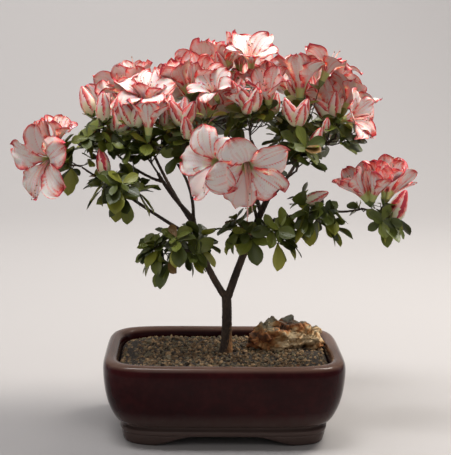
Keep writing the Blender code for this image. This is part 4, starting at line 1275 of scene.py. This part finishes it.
petal_u, petal_v, petal_faces = grid_template(PETAL_COLUMNS, PETAL_ROWS)
petal_u = np.sign(petal_u) * (1 - (1 - np.abs(petal_u)) ** 1.35)
petal_v = 1 - (1 - petal_v) ** 1.2
face_u = petal_u[petal_faces].mean(axis=1)
face_v = petal_v[petal_faces].mean(axis=1)


def petal_frame(openness):
    """What gives radius, height and half width at any share of a petal's length, and that length."""
    profile = np.array(HALF_PROFILE) * (1 - openness) + np.array(OPEN_PROFILE) * openness
    half_widths = np.array(HALF_WIDTHS) * (1 - openness) + np.array(OPEN_WIDTHS) * openness
    curve = smooth_path(profile, 60)
    steps = np.concatenate([[0], np.cumsum(np.linalg.norm(np.diff(curve, axis=0), axis=1))])

    def at(share):
        radius = np.interp(share, steps / steps[-1], curve[:, 0])
        height = np.interp(share, steps / steps[-1], curve[:, 1])
        half = np.interp(share, WIDTH_SHARES, half_widths)
        half = np.where(share < WIDTH_SHARES[0], radius * TUBE_HALF_ANGLE, half)
        tip = np.clip((share - TIP_SHARE) / (1 - TIP_SHARE), 0, 0.985)
        return radius, height, half * np.sqrt(1 - tip ** 2.5)

    return at, steps[-1]


print("petal has", len(petal_faces), "faces")

# %% The bent petal
def waves(around, rng, counts, strengths):
    """A wavy line made of a few sines with random phases."""
    return sum(strength * np.sin(count * around + rng.uniform(0, math.tau))
               for count, strength in zip(counts, strengths))


def petal_points(frame_of, openness, place, rng):
    """One petal of a flower that faces up, in millimetres."""
    at, length = frame_of
    radius, height, half = at(petal_v)
    blade = np.clip((petal_v - 0.33) / 0.67, 0, 1)
    sweep = rng.uniform(-0.15, 0.15) * blade ** 2 * openness
    angle = petal_u * half / radius * rng.uniform(0.86, 1.05) + sweep
    edge = np.maximum(np.abs(petal_u), np.clip((petal_v - 0.72) / 0.28, 0, 1)) ** 1.8
    around = np.arctan2(petal_u * 12, (petal_v - 0.6) * length)
    ruffle = rng.uniform(1.3, 3.0) * (0.4 + 0.6 * openness)
    ripple = waves(around, rng, (3, 5, 8, 13), (0.7, 0.8, 0.5, 0.3))
    crease = rng.uniform(0.5, 1.9)
    cup = rng.uniform(-1.0, 3.4) * petal_u ** 2 - crease * np.exp(-(petal_u / 0.17) ** 2)
    folds = 0.35 * np.sin(petal_u * rng.uniform(9, 13) + rng.uniform(0, 6))
    lap = (1.3 - 0.3 * openness) * petal_u
    roll = rng.uniform(-4.4, 4.4) * petal_u * blade * openness
    lift = blade * (ruffle * edge * ripple + cup + lap + folds + roll)
    tip_fall = rng.uniform(-6.0, 1.6) * blade ** 3 * openness
    # The lift is square to the petal: upwards where it lies flat, inwards where it stands.
    slope = np.gradient(np.array(at(np.linspace(0, 1, 50))[:2]), axis=1)
    slope /= np.linalg.norm(slope, axis=0)
    out, up = (np.interp(petal_v, np.linspace(0, 1, 50), row) for row in slope)
    radius = radius - lift * up
    height = height + lift * out + tip_fall + blade * rng.uniform(-0.12, 0.10) * radius
    turn = math.tau * (place + 0.5) / 5 + rng.uniform(-0.06, 0.06)
    x = radius * np.cos(angle)
    y = radius * np.sin(angle)
    return np.column_stack([x * math.cos(turn) - y * math.sin(turn),
                            x * math.sin(turn) + y * math.cos(turn), height])


print("petals bend along", len(OPEN_PROFILE), "places of a profile")

# %% Red margins and veins
def petal_slots(frame_of, redness, rng):
    """A colour for every face of a petal: red at its edge, with flames that run in from its tip."""
    at, length = frame_of
    _, _, half = at(face_v)
    margin = np.minimum(half * (1 - np.abs(face_u)), (1 - face_v) * length)
    around = np.arctan2(face_u * 12, (face_v - 0.6) * length)
    uneven = np.clip(1 + waves(around, rng, (2, 4, 7, 17), (0.5, 0.55, 0.5, 0.4)), 0.12, 3)
    red = redness * uneven * rng.uniform(0.8, 1.3)
    flames = waves(face_u * math.pi, rng, (3, 5, 8), (0.5, 0.6, 0.5)) + (redness - 1) * 0.7
    reach = np.clip(flames, 0, 2) * rng.uniform(2.5, 6.5)
    from_tip = (1 - face_v) * length
    slots = np.full(len(face_u), WHITE if rng.random() < 0.7 else SHADE)
    slots[(margin < 3.6 * red) | (from_tip < reach * 1.8)] = SHADE
    slots[(margin < 2.3 * red) | (from_tip < reach * 1.35)] = BLUSH
    slots[(margin < 1.5 * red) | (from_tip < reach)] = PINK
    slots[(margin < 0.95 * red) | (from_tip < reach * 0.6)] = CORAL
    slots[margin < 0.45 * red] = CRIMSON
    veins = waves(face_u * math.pi, rng, (5, 8, 13), (0.6, 0.7, 0.6)) - 1.6 * np.abs(face_v - 0.6)
    pale = (slots == WHITE) | (slots == SHADE)
    slots[(veins > 0.45) & (face_v > 0.36) & pale] = SHADE
    slots[(veins > 0.95) & (face_v > 0.36) & pale] = BLUSH
    slots[(veins > 1.35) & (face_v > 0.36) & pale] = PINK
    slots[(face_v < 0.44) & (slots == WHITE)] = CREAM
    slots[face_v < 0.27] = THROAT
    return slots



print("colours are dealt out over", len(face_u), "faces")

# %% The bud
BUD_SIDES, BUD_RINGS = 30, 18
BUD_SHAPE = (1.03, 1.03, 1.0)
bud_seed = bmesh.new()
bmesh.ops.create_uvsphere(bud_seed, u_segments=BUD_SIDES, v_segments=BUD_RINGS, radius=1.0)
bud_unit, bud_faces = as_template(bud_seed)
bud_height = (bud_unit[:, 2] + 1) / 2
bud_angle = np.arctan2(bud_unit[:, 1], bud_unit[:, 0])


def bud_furl(angle, height, twist):
    """How far round its own petal a place on the bud lies, from 0 at its edge to 1."""
    return (angle / math.tau * 5 + twist * height) % 1.0


def bud_points(twist, rng):
    furl = bud_furl(bud_angle, bud_height, twist)
    belly = np.hypot(bud_unit[:, 0], bud_unit[:, 1])
    swell = (1.3 - 0.5 * bud_height) * (1 - 0.10 * (1 - furl) ** 3 * (bud_height > 0.12))
    taper = 1 - 0.35 * np.clip(bud_height - 0.6, 0, 1)
    radius = belly * swell * taper * BUD_RADIUS
    bend = rng.uniform(-0.08, 0.08) * bud_height ** 2 * BUD_LENGTH
    return np.column_stack([radius * np.cos(bud_angle) + bend, radius * np.sin(bud_angle),
                            bud_height * BUD_LENGTH])


def bud_slots(twist, deep, rng):
    """Furled petals: a red edge and flame on each, cream between them, green at the foot."""
    middle = bud_unit[bud_faces].mean(axis=1)
    height = (middle[:, 2] + 1) / 2
    angle = np.arctan2(middle[:, 1], middle[:, 0])
    furl = bud_furl(angle, height, twist)
    uneven = (1 + 0.16 * np.sin(9 * height + rng.uniform(0, 6))
              + 0.10 * np.sin(5 * angle + 29 * height))
    red = np.clip((height - 0.12) * 0.95, 0, 0.55) * uneven * (rng.uniform(0.7, 1.15) + 0.5 * deep)
    slots = np.full(len(height), SHADE)
    slots[height < 0.55] = CREAM
    slots[furl < red * 1.30 + 0.05] = BLUSH
    slots[furl < red * 1.10] = PINK
    slots[furl < red * 0.90] = CORAL
    slots[furl < red * (0.75 if deep else 0.30)] = CRIMSON
    slots[height < 0.13 + 0.05 * np.sin(5 * angle)] = CALYX
    slots[height > 0.95] = CRIMSON
    return slots



print("bud has", len(bud_faces), "faces")

# %% Stamens, calyx and whole flowers
STAMEN_STEPS = 8
stamen_tube = tube_template(4, STAMEN_STEPS)
calyx_tube = tube_template(10, 5)
anther_seed = bmesh.new()
bmesh.ops.create_icosphere(anther_seed, subdivisions=1, radius=1.0)
anther_unit, anther_faces = as_template(anther_seed)
ANTHER_SIZE = (0.55 * MM, 0.55 * MM, 0.8 * MM)
STAMEN_RADII = (0.36, 0.26)
STAMEN_REACH, WIDE_STAMEN_REACH = 39, 46
FULLY_OPEN = 1.0
OPENNESS = {"O": (0.55, 0.9), "H": (0.0, 0.3), "B": (0.0, 0.0)}
REDNESS = {"O": (0.9, 1.5), "H": (1.2, 2.0), "B": (0.9, 1.3)}
WIDE_BLOOMS = {"mass_front": (0.7, 1.0), "mass_left_tip": (1.3, 1.6)}
DEEP_BUDS = ("mass_left_mid", "mass_right_tip")


def add_flower(blossom, flower, name, rng):
    kind, foot, direction, spin, size = flower
    spread_wide = kind == "O" and name in WIDE_BLOOMS
    openness = FULLY_OPEN if spread_wide else rng.uniform(*OPENNESS[kind])
    redness = rng.uniform(*(WIDE_BLOOMS[name] if spread_wide else REDNESS[kind]))
    turn = np.array(facing(direction, spin).to_matrix())
    place = np.array(foot)

    def put(points, faces, slots):
        blossom.add(place + points * size @ turn.T, faces, slots)

    if kind == "B":
        twist = rng.uniform(0.35, 0.6)
        put(bud_points(twist, rng) * BUD_SHAPE, bud_faces, bud_slots(twist, name in DEEP_BUDS, rng))
        return
    frame_of = petal_frame(openness)
    for petal in range(5):
        put(petal_points(frame_of, openness, petal, rng) * MM, petal_faces,
            petal_slots(frame_of, redness, rng))
    cup = np.array([(0, 0, 0), (0, 0, 1.5), (0, 0, 3), (0, 0, 4.5), (0, 0, 6)]) * MM
    put(*swept(calyx_tube, cup, np.array([1.0, 1.5, 2.2, 2.6, 2.9]) * MM), CALYX)
    gravity = turn.T @ np.array((0, 0, -1.0))
    reach = WIDE_STAMEN_REACH if spread_wide else STAMEN_REACH
    for strand in range(rng.choice((6, 7, 8))):
        angle = rng.uniform(0, math.tau)
        spread = rng.uniform(1.0, 5.5)
        side = np.array((math.cos(angle), math.sin(angle), 0))
        length = reach * rng.uniform(0.72, 1.0) * (1.12 if strand == 0 else 1.0)
        sag = length * rng.uniform(0.42, 0.68) if spread_wide else 3.0
        end = length * 0.72 if spread_wide else length - 0.6
        path = [side * 1.2 + (0, 0, 6), side * 2.2 + (0, 0, end * 0.5) + gravity * sag * 0.08,
                side * spread * 0.8 + (0, 0, end * 0.84) + gravity * sag * 0.45,
                side * spread + (0, 0, end) + gravity * sag]
        path = smooth_path(path, STAMEN_STEPS + 1) * MM
        put(*swept(stamen_tube, path, np.linspace(*STAMEN_RADII, STAMEN_STEPS + 1) * MM), STAMEN)
        put(path[-1] + anther_unit * ANTHER_SIZE, anther_faces, ANTHER)


for (name, *_), mass in zip(MASSES, masses):
    if mass["flowers"]:
        rng = random.Random("blossom " + name)
        blossom = Joined()
        for flower in mass["flowers"]:
            add_flower(blossom, flower, name, rng)
        blossom.make("blossom_" + name.removeprefix("mass_"), petal_finishes, "leaf_and_blossom",
                     [name])

# %% [markdown]
# ## Trunk and boughs
# The bark is one skin from the soil to the last bough. Each limb starts as a tube, all of them are
# remeshed together so that joints flow into each other, and the skin then gets its furrows.

# %% Bark skin
BARK_VOXEL = 0.5 * MM
BARK_RINGS, BARK_SIDES = 24, 12
FURROW_DEPTH, FLAKE_DEPTH = 0.45, 0.22
OLD_BARK_TOP, YOUNG_BARK_RELIEF = 120, 0.45


def all_limbs():
    whole = bmesh.new()
    for name, (points, radii) in limbs.items():
        path = smooth_path(points, BARK_RINGS)
        girth = np.interp(np.linspace(0, 1, BARK_RINGS), np.linspace(0, 1, len(radii)), radii)
        path[0] = path[0] - (path[1] - path[0]) * 0.3
        tube, faces = swept(tube_template(BARK_SIDES, BARK_RINGS - 1), path, girth)
        mesh = bpy.data.meshes.new(name)
        mesh.from_pydata(tube.tolist(), [], faces.tolist())
        whole.from_mesh(mesh)
    return whole


def remeshed(bm, voxel):
    """A bmesh made one even skin by a voxel remesh."""
    mesh = bpy.data.meshes.new("rough_form")
    bm.to_mesh(mesh)
    bm.free()
    holder = bpy.data.objects.new("rough_form", mesh)
    bpy.context.scene.collection.objects.link(holder)
    modifier = holder.modifiers.new("Skin", "REMESH")
    modifier.mode = "VOXEL"
    modifier.voxel_size = voxel
    graph = bpy.context.evaluated_depsgraph_get()
    graph.update()
    skin = bpy.data.meshes.new_from_object(holder.evaluated_get(graph))
    bpy.data.objects.remove(holder, do_unlink=True)
    out = bmesh.new()
    out.from_mesh(skin)
    return out


bark = remeshed(all_limbs(), BARK_VOXEL)
bmesh.ops.smooth_vert(bark, verts=bark.verts, factor=0.5, use_axis_x=True, use_axis_y=True,
                      use_axis_z=True)
bark.normal_update()
for vertex in bark.verts:
    spot = vertex.co / MM
    furrow = noise.noise(Vector((spot.x * 0.9, spot.y * 0.9, spot.z * 0.30)))
    flake = noise.noise(Vector((spot.x * 2.2, spot.y * 2.2, spot.z * 1.1)) + Vector((7, 3, 1)))
    thick = 1.0 if spot.z < OLD_BARK_TOP else YOUNG_BARK_RELIEF
    vertex.co += vertex.normal * (furrow * FURROW_DEPTH + flake * FLAKE_DEPTH) * thick * MM
bark_finish = Finish("dark_bark", (0.06, 0.04, 0.03), 0.8)
patch = bark_finish.speckle(90.0, stretch=(1, 1, 0.35))
fine = bark_finish.speckle(900.0, detail=6.0, stretch=(1, 1, 0.3))
tone = bark_finish.ramp(patch * 0.55 + fine * 0.5, (
    (0.30, (0.012, 0.008, 0.007)), (0.48, (0.034, 0.021, 0.015)), (0.62, (0.075, 0.046, 0.029)),
    (0.80, (0.160, 0.100, 0.058))))
right, level = bark_finish.along(0), bark_finish.along(2)
# Painted light: a paler orange-brown patch on the right side of the trunk's foot, where the main light
# falls.
painted_lit_side = bark_finish.between((right - (POT_CENTRE.x + 3.5 * MM)) * 260.0 - (level - 0.078) * 45.0
                             + (fine - 0.5) * 3.0, 0.0, 1.0)
low_down = bark_finish.between(level, 0.105, 0.080)
tone = bark_finish.mix(painted_lit_side * low_down * 0.85, tone, (0.42, 0.20, 0.075))
bark_finish.put(bark_finish.shader, "Base Color", tone)
bark_finish.relief(fine, 0.8, 0.5 * MM)
bmesh_piece("bark_skin", bark, [bark_finish.material], list(limbs))

# %% [markdown]
# ## Pot
# The pot is a rounded rectangle with softly swelling walls. Every level of it is one ring, so the
# wall is a stack of rings bridged together, from the foot over the rim and down inside. The skirt
# with its four feet is a second band whose lower edge rises between the feet.

# %% Wall and rim
POT_LENGTH, POT_DEPTH = 205 * MM, 145 * MM
POT_CORNER_POWER = 5.5
POT_RING = 144
SOIL_TOP = 65.5 * MM
WALL_LEVELS = (
    (22.0, 8.6), (15.8, 8.4), (14.6, 9.4), (14.1, 10.8), (14.1, 12.6), (14.8, 13.4), (16.8, 14.0),
    (17.2, 15.0), (16.9, 16.2), (15.4, 17.1), (12.8, 17.8), (11.0, 19.2), (9.2, 21.8), (7.3, 25.4),
    (5.4, 29.8), (3.8, 34.4), (2.5, 39.4), (1.4, 45.0), (0.6, 51.4), (0.1, 57.8), (0.0, 62.6),
    (0.3, 66.0), (1.3, 68.8), (2.8, 70.6), (4.6, 71.5), (6.5, 71.7), (8.6, 71.4), (10.4, 70.4),
    (11.8, 68.9), (12.5, 67.0), (12.9, 64.5), (13.4, 60.0), (17.0, 44.0), (22.0, 24.0), (30.0, 18.0),
)


def pot_outline(inset, height, segments=POT_RING):
    """A rounded rectangle with gently bowed sides, as one ring of points."""
    half_length = POT_LENGTH / 2 - inset
    half_depth = POT_DEPTH / 2 - inset
    ring = []
    for step in range(segments):
        angle = math.tau * (step + 0.5) / segments
        across = math.copysign(abs(math.cos(angle)) ** (2 / POT_CORNER_POWER), math.cos(angle))
        back = math.copysign(abs(math.sin(angle)) ** (2 / POT_CORNER_POWER), math.sin(angle))
        ring.append(Vector((half_length * across, half_depth * back, height)))
    return ring


def add_ring(bm, points):
    circle = bmesh.ops.create_circle(bm, segments=len(points), radius=1.0)["verts"]
    for vertex, point in zip(circle, points):
        vertex.co = point
    return list({edge for vertex in circle for edge in vertex.link_edges})


def stack_rings(bm, rings, joined=False):
    loops = [add_ring(bm, points) for points in rings]
    pairs = list(zip(loops, loops[1:]))
    if joined:
        pairs.append((loops[-1], loops[0]))
    for lower, upper in pairs:
        bmesh.ops.bridge_loops(bm, edges=lower + upper)
    if not joined:
        bmesh.ops.holes_fill(bm, edges=bm.edges, sides=0)
    bmesh.ops.recalc_face_normals(bm, faces=bm.faces)


print("wall of", len(WALL_LEVELS), "rings with", POT_RING, "corners each")

# %% Skirt and feet
SKIRT_TOP = 10.6
ARCH_RISE = 9.0
FOOT_RUN = {"long": (24.0, 64.0), "short": (10.0, 40.0)}


def arch_height(point):
    """How high the skirt's lower edge stands above the ground at a place on the ring."""
    half_length, half_depth = POT_LENGTH / 2 - 18 * MM, POT_DEPTH / 2 - 18 * MM
    on_long = abs(point.y) / half_depth > abs(point.x) / half_length
    inner, outer = FOOT_RUN["long" if on_long else "short"]
    along = abs(point.x if on_long else point.y) / MM
    share = min(max((outer - along) / (outer - inner), 0), 1)
    return ARCH_RISE * share * share * (3 - 2 * share)


def skirt_ring(inset, height, tapers):
    ring = pot_outline(inset * MM, height * MM, 192)
    if tapers:
        for point in ring:
            point.z = max(point.z, arch_height(point) * MM)
    return ring


pot = bmesh.new()
stack_rings(pot, [pot_outline(inset * MM, height * MM) for inset, height in WALL_LEVELS])
skirt = bmesh.new()
SKIRT_LEVELS = ((16.6, 0.6), (16.2, 2.0), (15.6, 4.6), (15.2, 7.2), (15.0, 9.4), (16.2, SKIRT_TOP),
                (28.0, SKIRT_TOP), (28.0, 7.2), (28.0, 2.0), (27.6, 0.3), (26.8, 0.0), (17.6, 0.0))
stack_rings(skirt, [skirt_ring(inset, height, height < SKIRT_TOP) for inset, height in SKIRT_LEVELS],
            joined=True)
skirt_mesh = bpy.data.meshes.new("skirt")
skirt.to_mesh(skirt_mesh)
skirt.free()
pot.from_mesh(skirt_mesh)
mark_facing(pot)
print("pot and skirt", len(pot.faces), "faces")

# %% [markdown]
# ## Glaze
# The glaze is deep oxblood, and runs thin and brown along the foot and on the rim. The paler foot
# is also a painted reflection of the bench, and the paler top of the rim a painted highlight. It
# could be painted by hand, but height alone decides where it thins, so a ramp on height and the
# mark of what faces up are enough.

# %% Glaze
THIN_GLAZE_AND_REFLECTION_TOP, THIN_GLAZE_AND_REFLECTION_FOOT = 0.032, 0.016
RIM_BAND_FOOT, RIM_BAND_TOP = 0.0672, 0.0700
glaze = Finish("oxblood_glaze", (0.05, 0.01, 0.012), 0.2, Specular_IOR_Level=0.13)
pool = glaze.speckle(22.0, detail=5.0)
mottle = glaze.speckle(150.0, detail=5.0)
body = glaze.ramp(pool * 0.6 + mottle * 0.4, (
    (0.30, (0.013, 0.0014, 0.0020)), (0.5, (0.023, 0.0024, 0.0032)), (0.68, (0.038, 0.0046, 0.0050)),
    (0.82, (0.058, 0.0100, 0.0090))))
height = glaze.along(2)
# Paler and browner towards the foot: thin glaze, and a painted reflection of the pale bench.
thin_glaze_and_reflection = glaze.between(height + (mottle - 0.5) * 0.006, THIN_GLAZE_AND_REFLECTION_TOP, THIN_GLAZE_AND_REFLECTION_FOOT)
on_rim = glaze.between(height, RIM_BAND_FOOT, RIM_BAND_TOP)
# Paler on top of the rim where it faces up: thin glaze, and a painted highlight.
rim_thin_glaze_and_highlight = on_rim * glaze.between(glaze.facing_up(), 0.15, 0.75)
body = glaze.mix(thin_glaze_and_reflection * 0.9, body, (0.090, 0.062, 0.054))
glaze.put(glaze.shader, "Base Color", glaze.mix(rim_thin_glaze_and_highlight, body, (0.110, 0.062, 0.046)))
glaze.put(glaze.shader, "Roughness", pool * 0.12 + 0.10)
glaze.relief(mottle + pool * 2.0, 0.10, 0.5 * MM)
bmesh_piece("glazed_pot", pot, [glaze.material],
            ["pot", "pot_foot_front_left", "pot_foot_front_right", "pot_foot_back_left",
             "pot_foot_back_right"])

# %% [markdown]
# ## Soil
# Bonsai soil is baked clay and grit in grains of one to three millimetres. Each grain is a squashed
# ball of twenty faces, and thousands of them lie joined over a darker bed.

# %% Grains
GRAINS = 4300
GRAIN_COLOURS = (
    ("grain_tan", (0.32, 0.205, 0.105)), ("grain_brown", (0.145, 0.088, 0.044)),
    ("grain_grey", (0.150, 0.120, 0.075)), ("grain_dark", (0.034, 0.023, 0.014)),
    ("grain_olive", (0.130, 0.105, 0.045)), ("grain_red", (0.25, 0.090, 0.04)),
)
GRAIN_SHARES = (0.24, 0.50, 0.68, 0.84, 0.95, 1.0)
GRAIN_SIZES = (0.7, 0.95, 1.1, 1.25, 1.5, 1.9)
SOIL_MARGIN = 13.6 * MM


def grain_finish(name, colour):
    """One base colour all over, with a fine grain in its relief alone."""
    finish = Finish(name, colour, 0.92)
    finish.relief(finish.speckle(2200.0), 0.7, 0.2 * MM)
    return finish.material


grain_finishes = [grain_finish(*row) for row in GRAIN_COLOURS]
grain_seed = bmesh.new()
bmesh.ops.create_icosphere(grain_seed, subdivisions=1, radius=1.0)
grain_unit, grain_faces = as_template(grain_seed)
rng = random.Random("grains")
grains = Joined()
soil_half = (POT_LENGTH / 2 - SOIL_MARGIN, POT_DEPTH / 2 - SOIL_MARGIN)
while len(grains.slots) < GRAINS:
    x, y = rng.uniform(-1, 1), rng.uniform(-1, 1)
    edge = (abs(x) ** POT_CORNER_POWER + abs(y) ** POT_CORNER_POWER) ** (1 / POT_CORNER_POWER)
    if edge > 0.985:
        continue
    size = rng.choice(GRAIN_SIZES) * MM * rng.uniform(0.85, 1.2)
    height = SOIL_TOP - max(edge - 0.75, 0) / 0.25 * 2.5 * MM
    dents = np.array([rng.uniform(0.72, 1.2) for _ in range(len(grain_unit))])[:, None]
    turn = np.array(Quaternion(Vector([rng.gauss(0, 1) for _ in range(3)]).normalized(),
                               rng.uniform(0, math.tau)).to_matrix())
    squash = np.array([rng.uniform(0.7, 1.15) for _ in range(3)])
    centre = (x * soil_half[0], y * soil_half[1], height + size * rng.uniform(-0.45, 0.55))
    colour = next(place for place, share in enumerate(GRAIN_SHARES) if rng.random() <= share)
    grains.add(grain_unit * dents * squash * size @ turn.T + centre, grain_faces, colour)
grains.make("soil_grains", grain_finishes, "soil", (), smooth=False)
bed = Finish("soil_bed", (0.05, 0.036, 0.026), 0.95)
bed_noise = bed.speckle(700.0, detail=6.0)
bed.put(bed.shader, "Base Color", bed.ramp(bed_noise, (
    (0.35, (0.008, 0.006, 0.004)), (0.5, (0.024, 0.017, 0.012)), (0.7, (0.060, 0.042, 0.028)))))
bed.relief(bed_noise, 0.9, 1.0 * MM)
soil_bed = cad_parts["soil"].data
soil_bed.materials.clear()
soil_bed.materials.append(bed.material)

# %% [markdown]
# ## Stone
# A weathered rock lies on the soil beside the trunk: three lumps with sharp broken faces, cream
# and rust where the rock is bare and greenish grey along the ridge.

# %% Craggy rock
STONE_LUMPS = (
    ((45, 15, 76), (23, 15, 15), 9), ((62, 20, 76), (20, 13, 13), 5), ((79, 18, 72), (11, 10, 9), 2),
)
STONE_ROUGHNESS = 0.16
RIDGE_LEVEL = 84 * MM
ROCK_VOXEL = 0.7 * MM
BLOCK_STEP, BLOCK_TILT, CREVICE_DEPTH, GRIT_DEPTH = 3.6, 9.0, 2.2, 0.22
lumps = bmesh.new()
for centre, half_sizes, seed in STONE_LUMPS:
    rng = random.Random(seed)
    lump = bmesh.ops.create_icosphere(lumps, subdivisions=2, radius=1.0)["verts"]
    for vertex in lump:
        swell = 1 + rng.uniform(-STONE_ROUGHNESS, STONE_ROUGHNESS)
        vertex.co = Vector([(c + h * v * swell) * MM for c, h, v in zip(centre, half_sizes, vertex.co)])
NOISE_SHIFTS = (Vector((9.3, -1.5, -7.9)), Vector((0.0, 4.4, 2.1)), Vector((-3.1, 5.7, -2.3)))


def noise_along(place):
    """Noise along each axis, read at three places that lie apart."""
    return Vector([noise.noise(place + shift) for shift in NOISE_SHIFTS])


rock = remeshed(lumps, ROCK_VOXEL)
rock.normal_update()
for vertex in rock.verts:
    spot = vertex.co / MM
    warped = Vector((spot.x * 0.085, spot.y * 0.10, spot.z * 0.12)) + noise_along(spot * 0.12) * 0.16
    near, seeds = noise.voronoi(warped)
    block = noise_along(seeds[0] * 5.3)
    step = block.x * BLOCK_STEP + block.dot(warped - seeds[0]) * BLOCK_TILT
    crevice = math.exp(-(near[1] - near[0]) / 0.05)
    near, seeds = noise.voronoi(spot * 0.26)
    chip = noise_along(seeds[0] * 3.1)
    step += chip.x * 0.8 + chip.dot(spot * 0.26 - seeds[0]) * 1.1
    grit = noise.fractal(spot * 0.5, 0.9, 2.2, 3) * GRIT_DEPTH
    vertex.co += vertex.normal * (step - CREVICE_DEPTH * crevice + grit) * MM
    vertex.co.z = max(vertex.co.z, SOIL_TOP - 1.0 * MM)
mark_facing(rock)
print("rock", len(rock.faces), "faces")

# %% [markdown]
# ## Rock finish
# Bare rock is cream with rusty veins, and moss settles where the rock faces up and stands high.
# The mark of the way each point faces lets the moss follow the broken shape by itself.

# %% Rock finish
stone = Finish("weathered_rock", (0.42, 0.28, 0.16), 0.85)
cloud = stone.speckle(48.0, detail=3.0)
fleck = stone.speckle(420.0, detail=6.0)
vein = stone.speckle(120.0, detail=4.0, stretch=(1, 1, 2))
rust = stone.ramp(cloud * 0.70 + vein * 0.22 + fleck * 0.08, (
    (0.38, (0.030, 0.019, 0.011)), (0.43, (0.15, 0.052, 0.018)), (0.48, (0.40, 0.150, 0.045)),
    (0.53, (0.50, 0.28, 0.115)), (0.60, (0.70, 0.54, 0.33))))
high_up = stone.along(2) - RIDGE_LEVEL
moss = stone.between(stone.facing_up() + high_up * 55.0 + (vein - 0.5) * 2.2 + (fleck - 0.5) * 0.8,
                     0.55, 0.95)
stone.put(stone.shader, "Base Color", stone.mix(moss * 0.9, rust, (0.040, 0.041, 0.027)))
stone.relief(fleck + cloud * 0.6, 0.9, 0.8 * MM)
bmesh_piece("craggy_rock", rock, [stone.material], ["stone"])
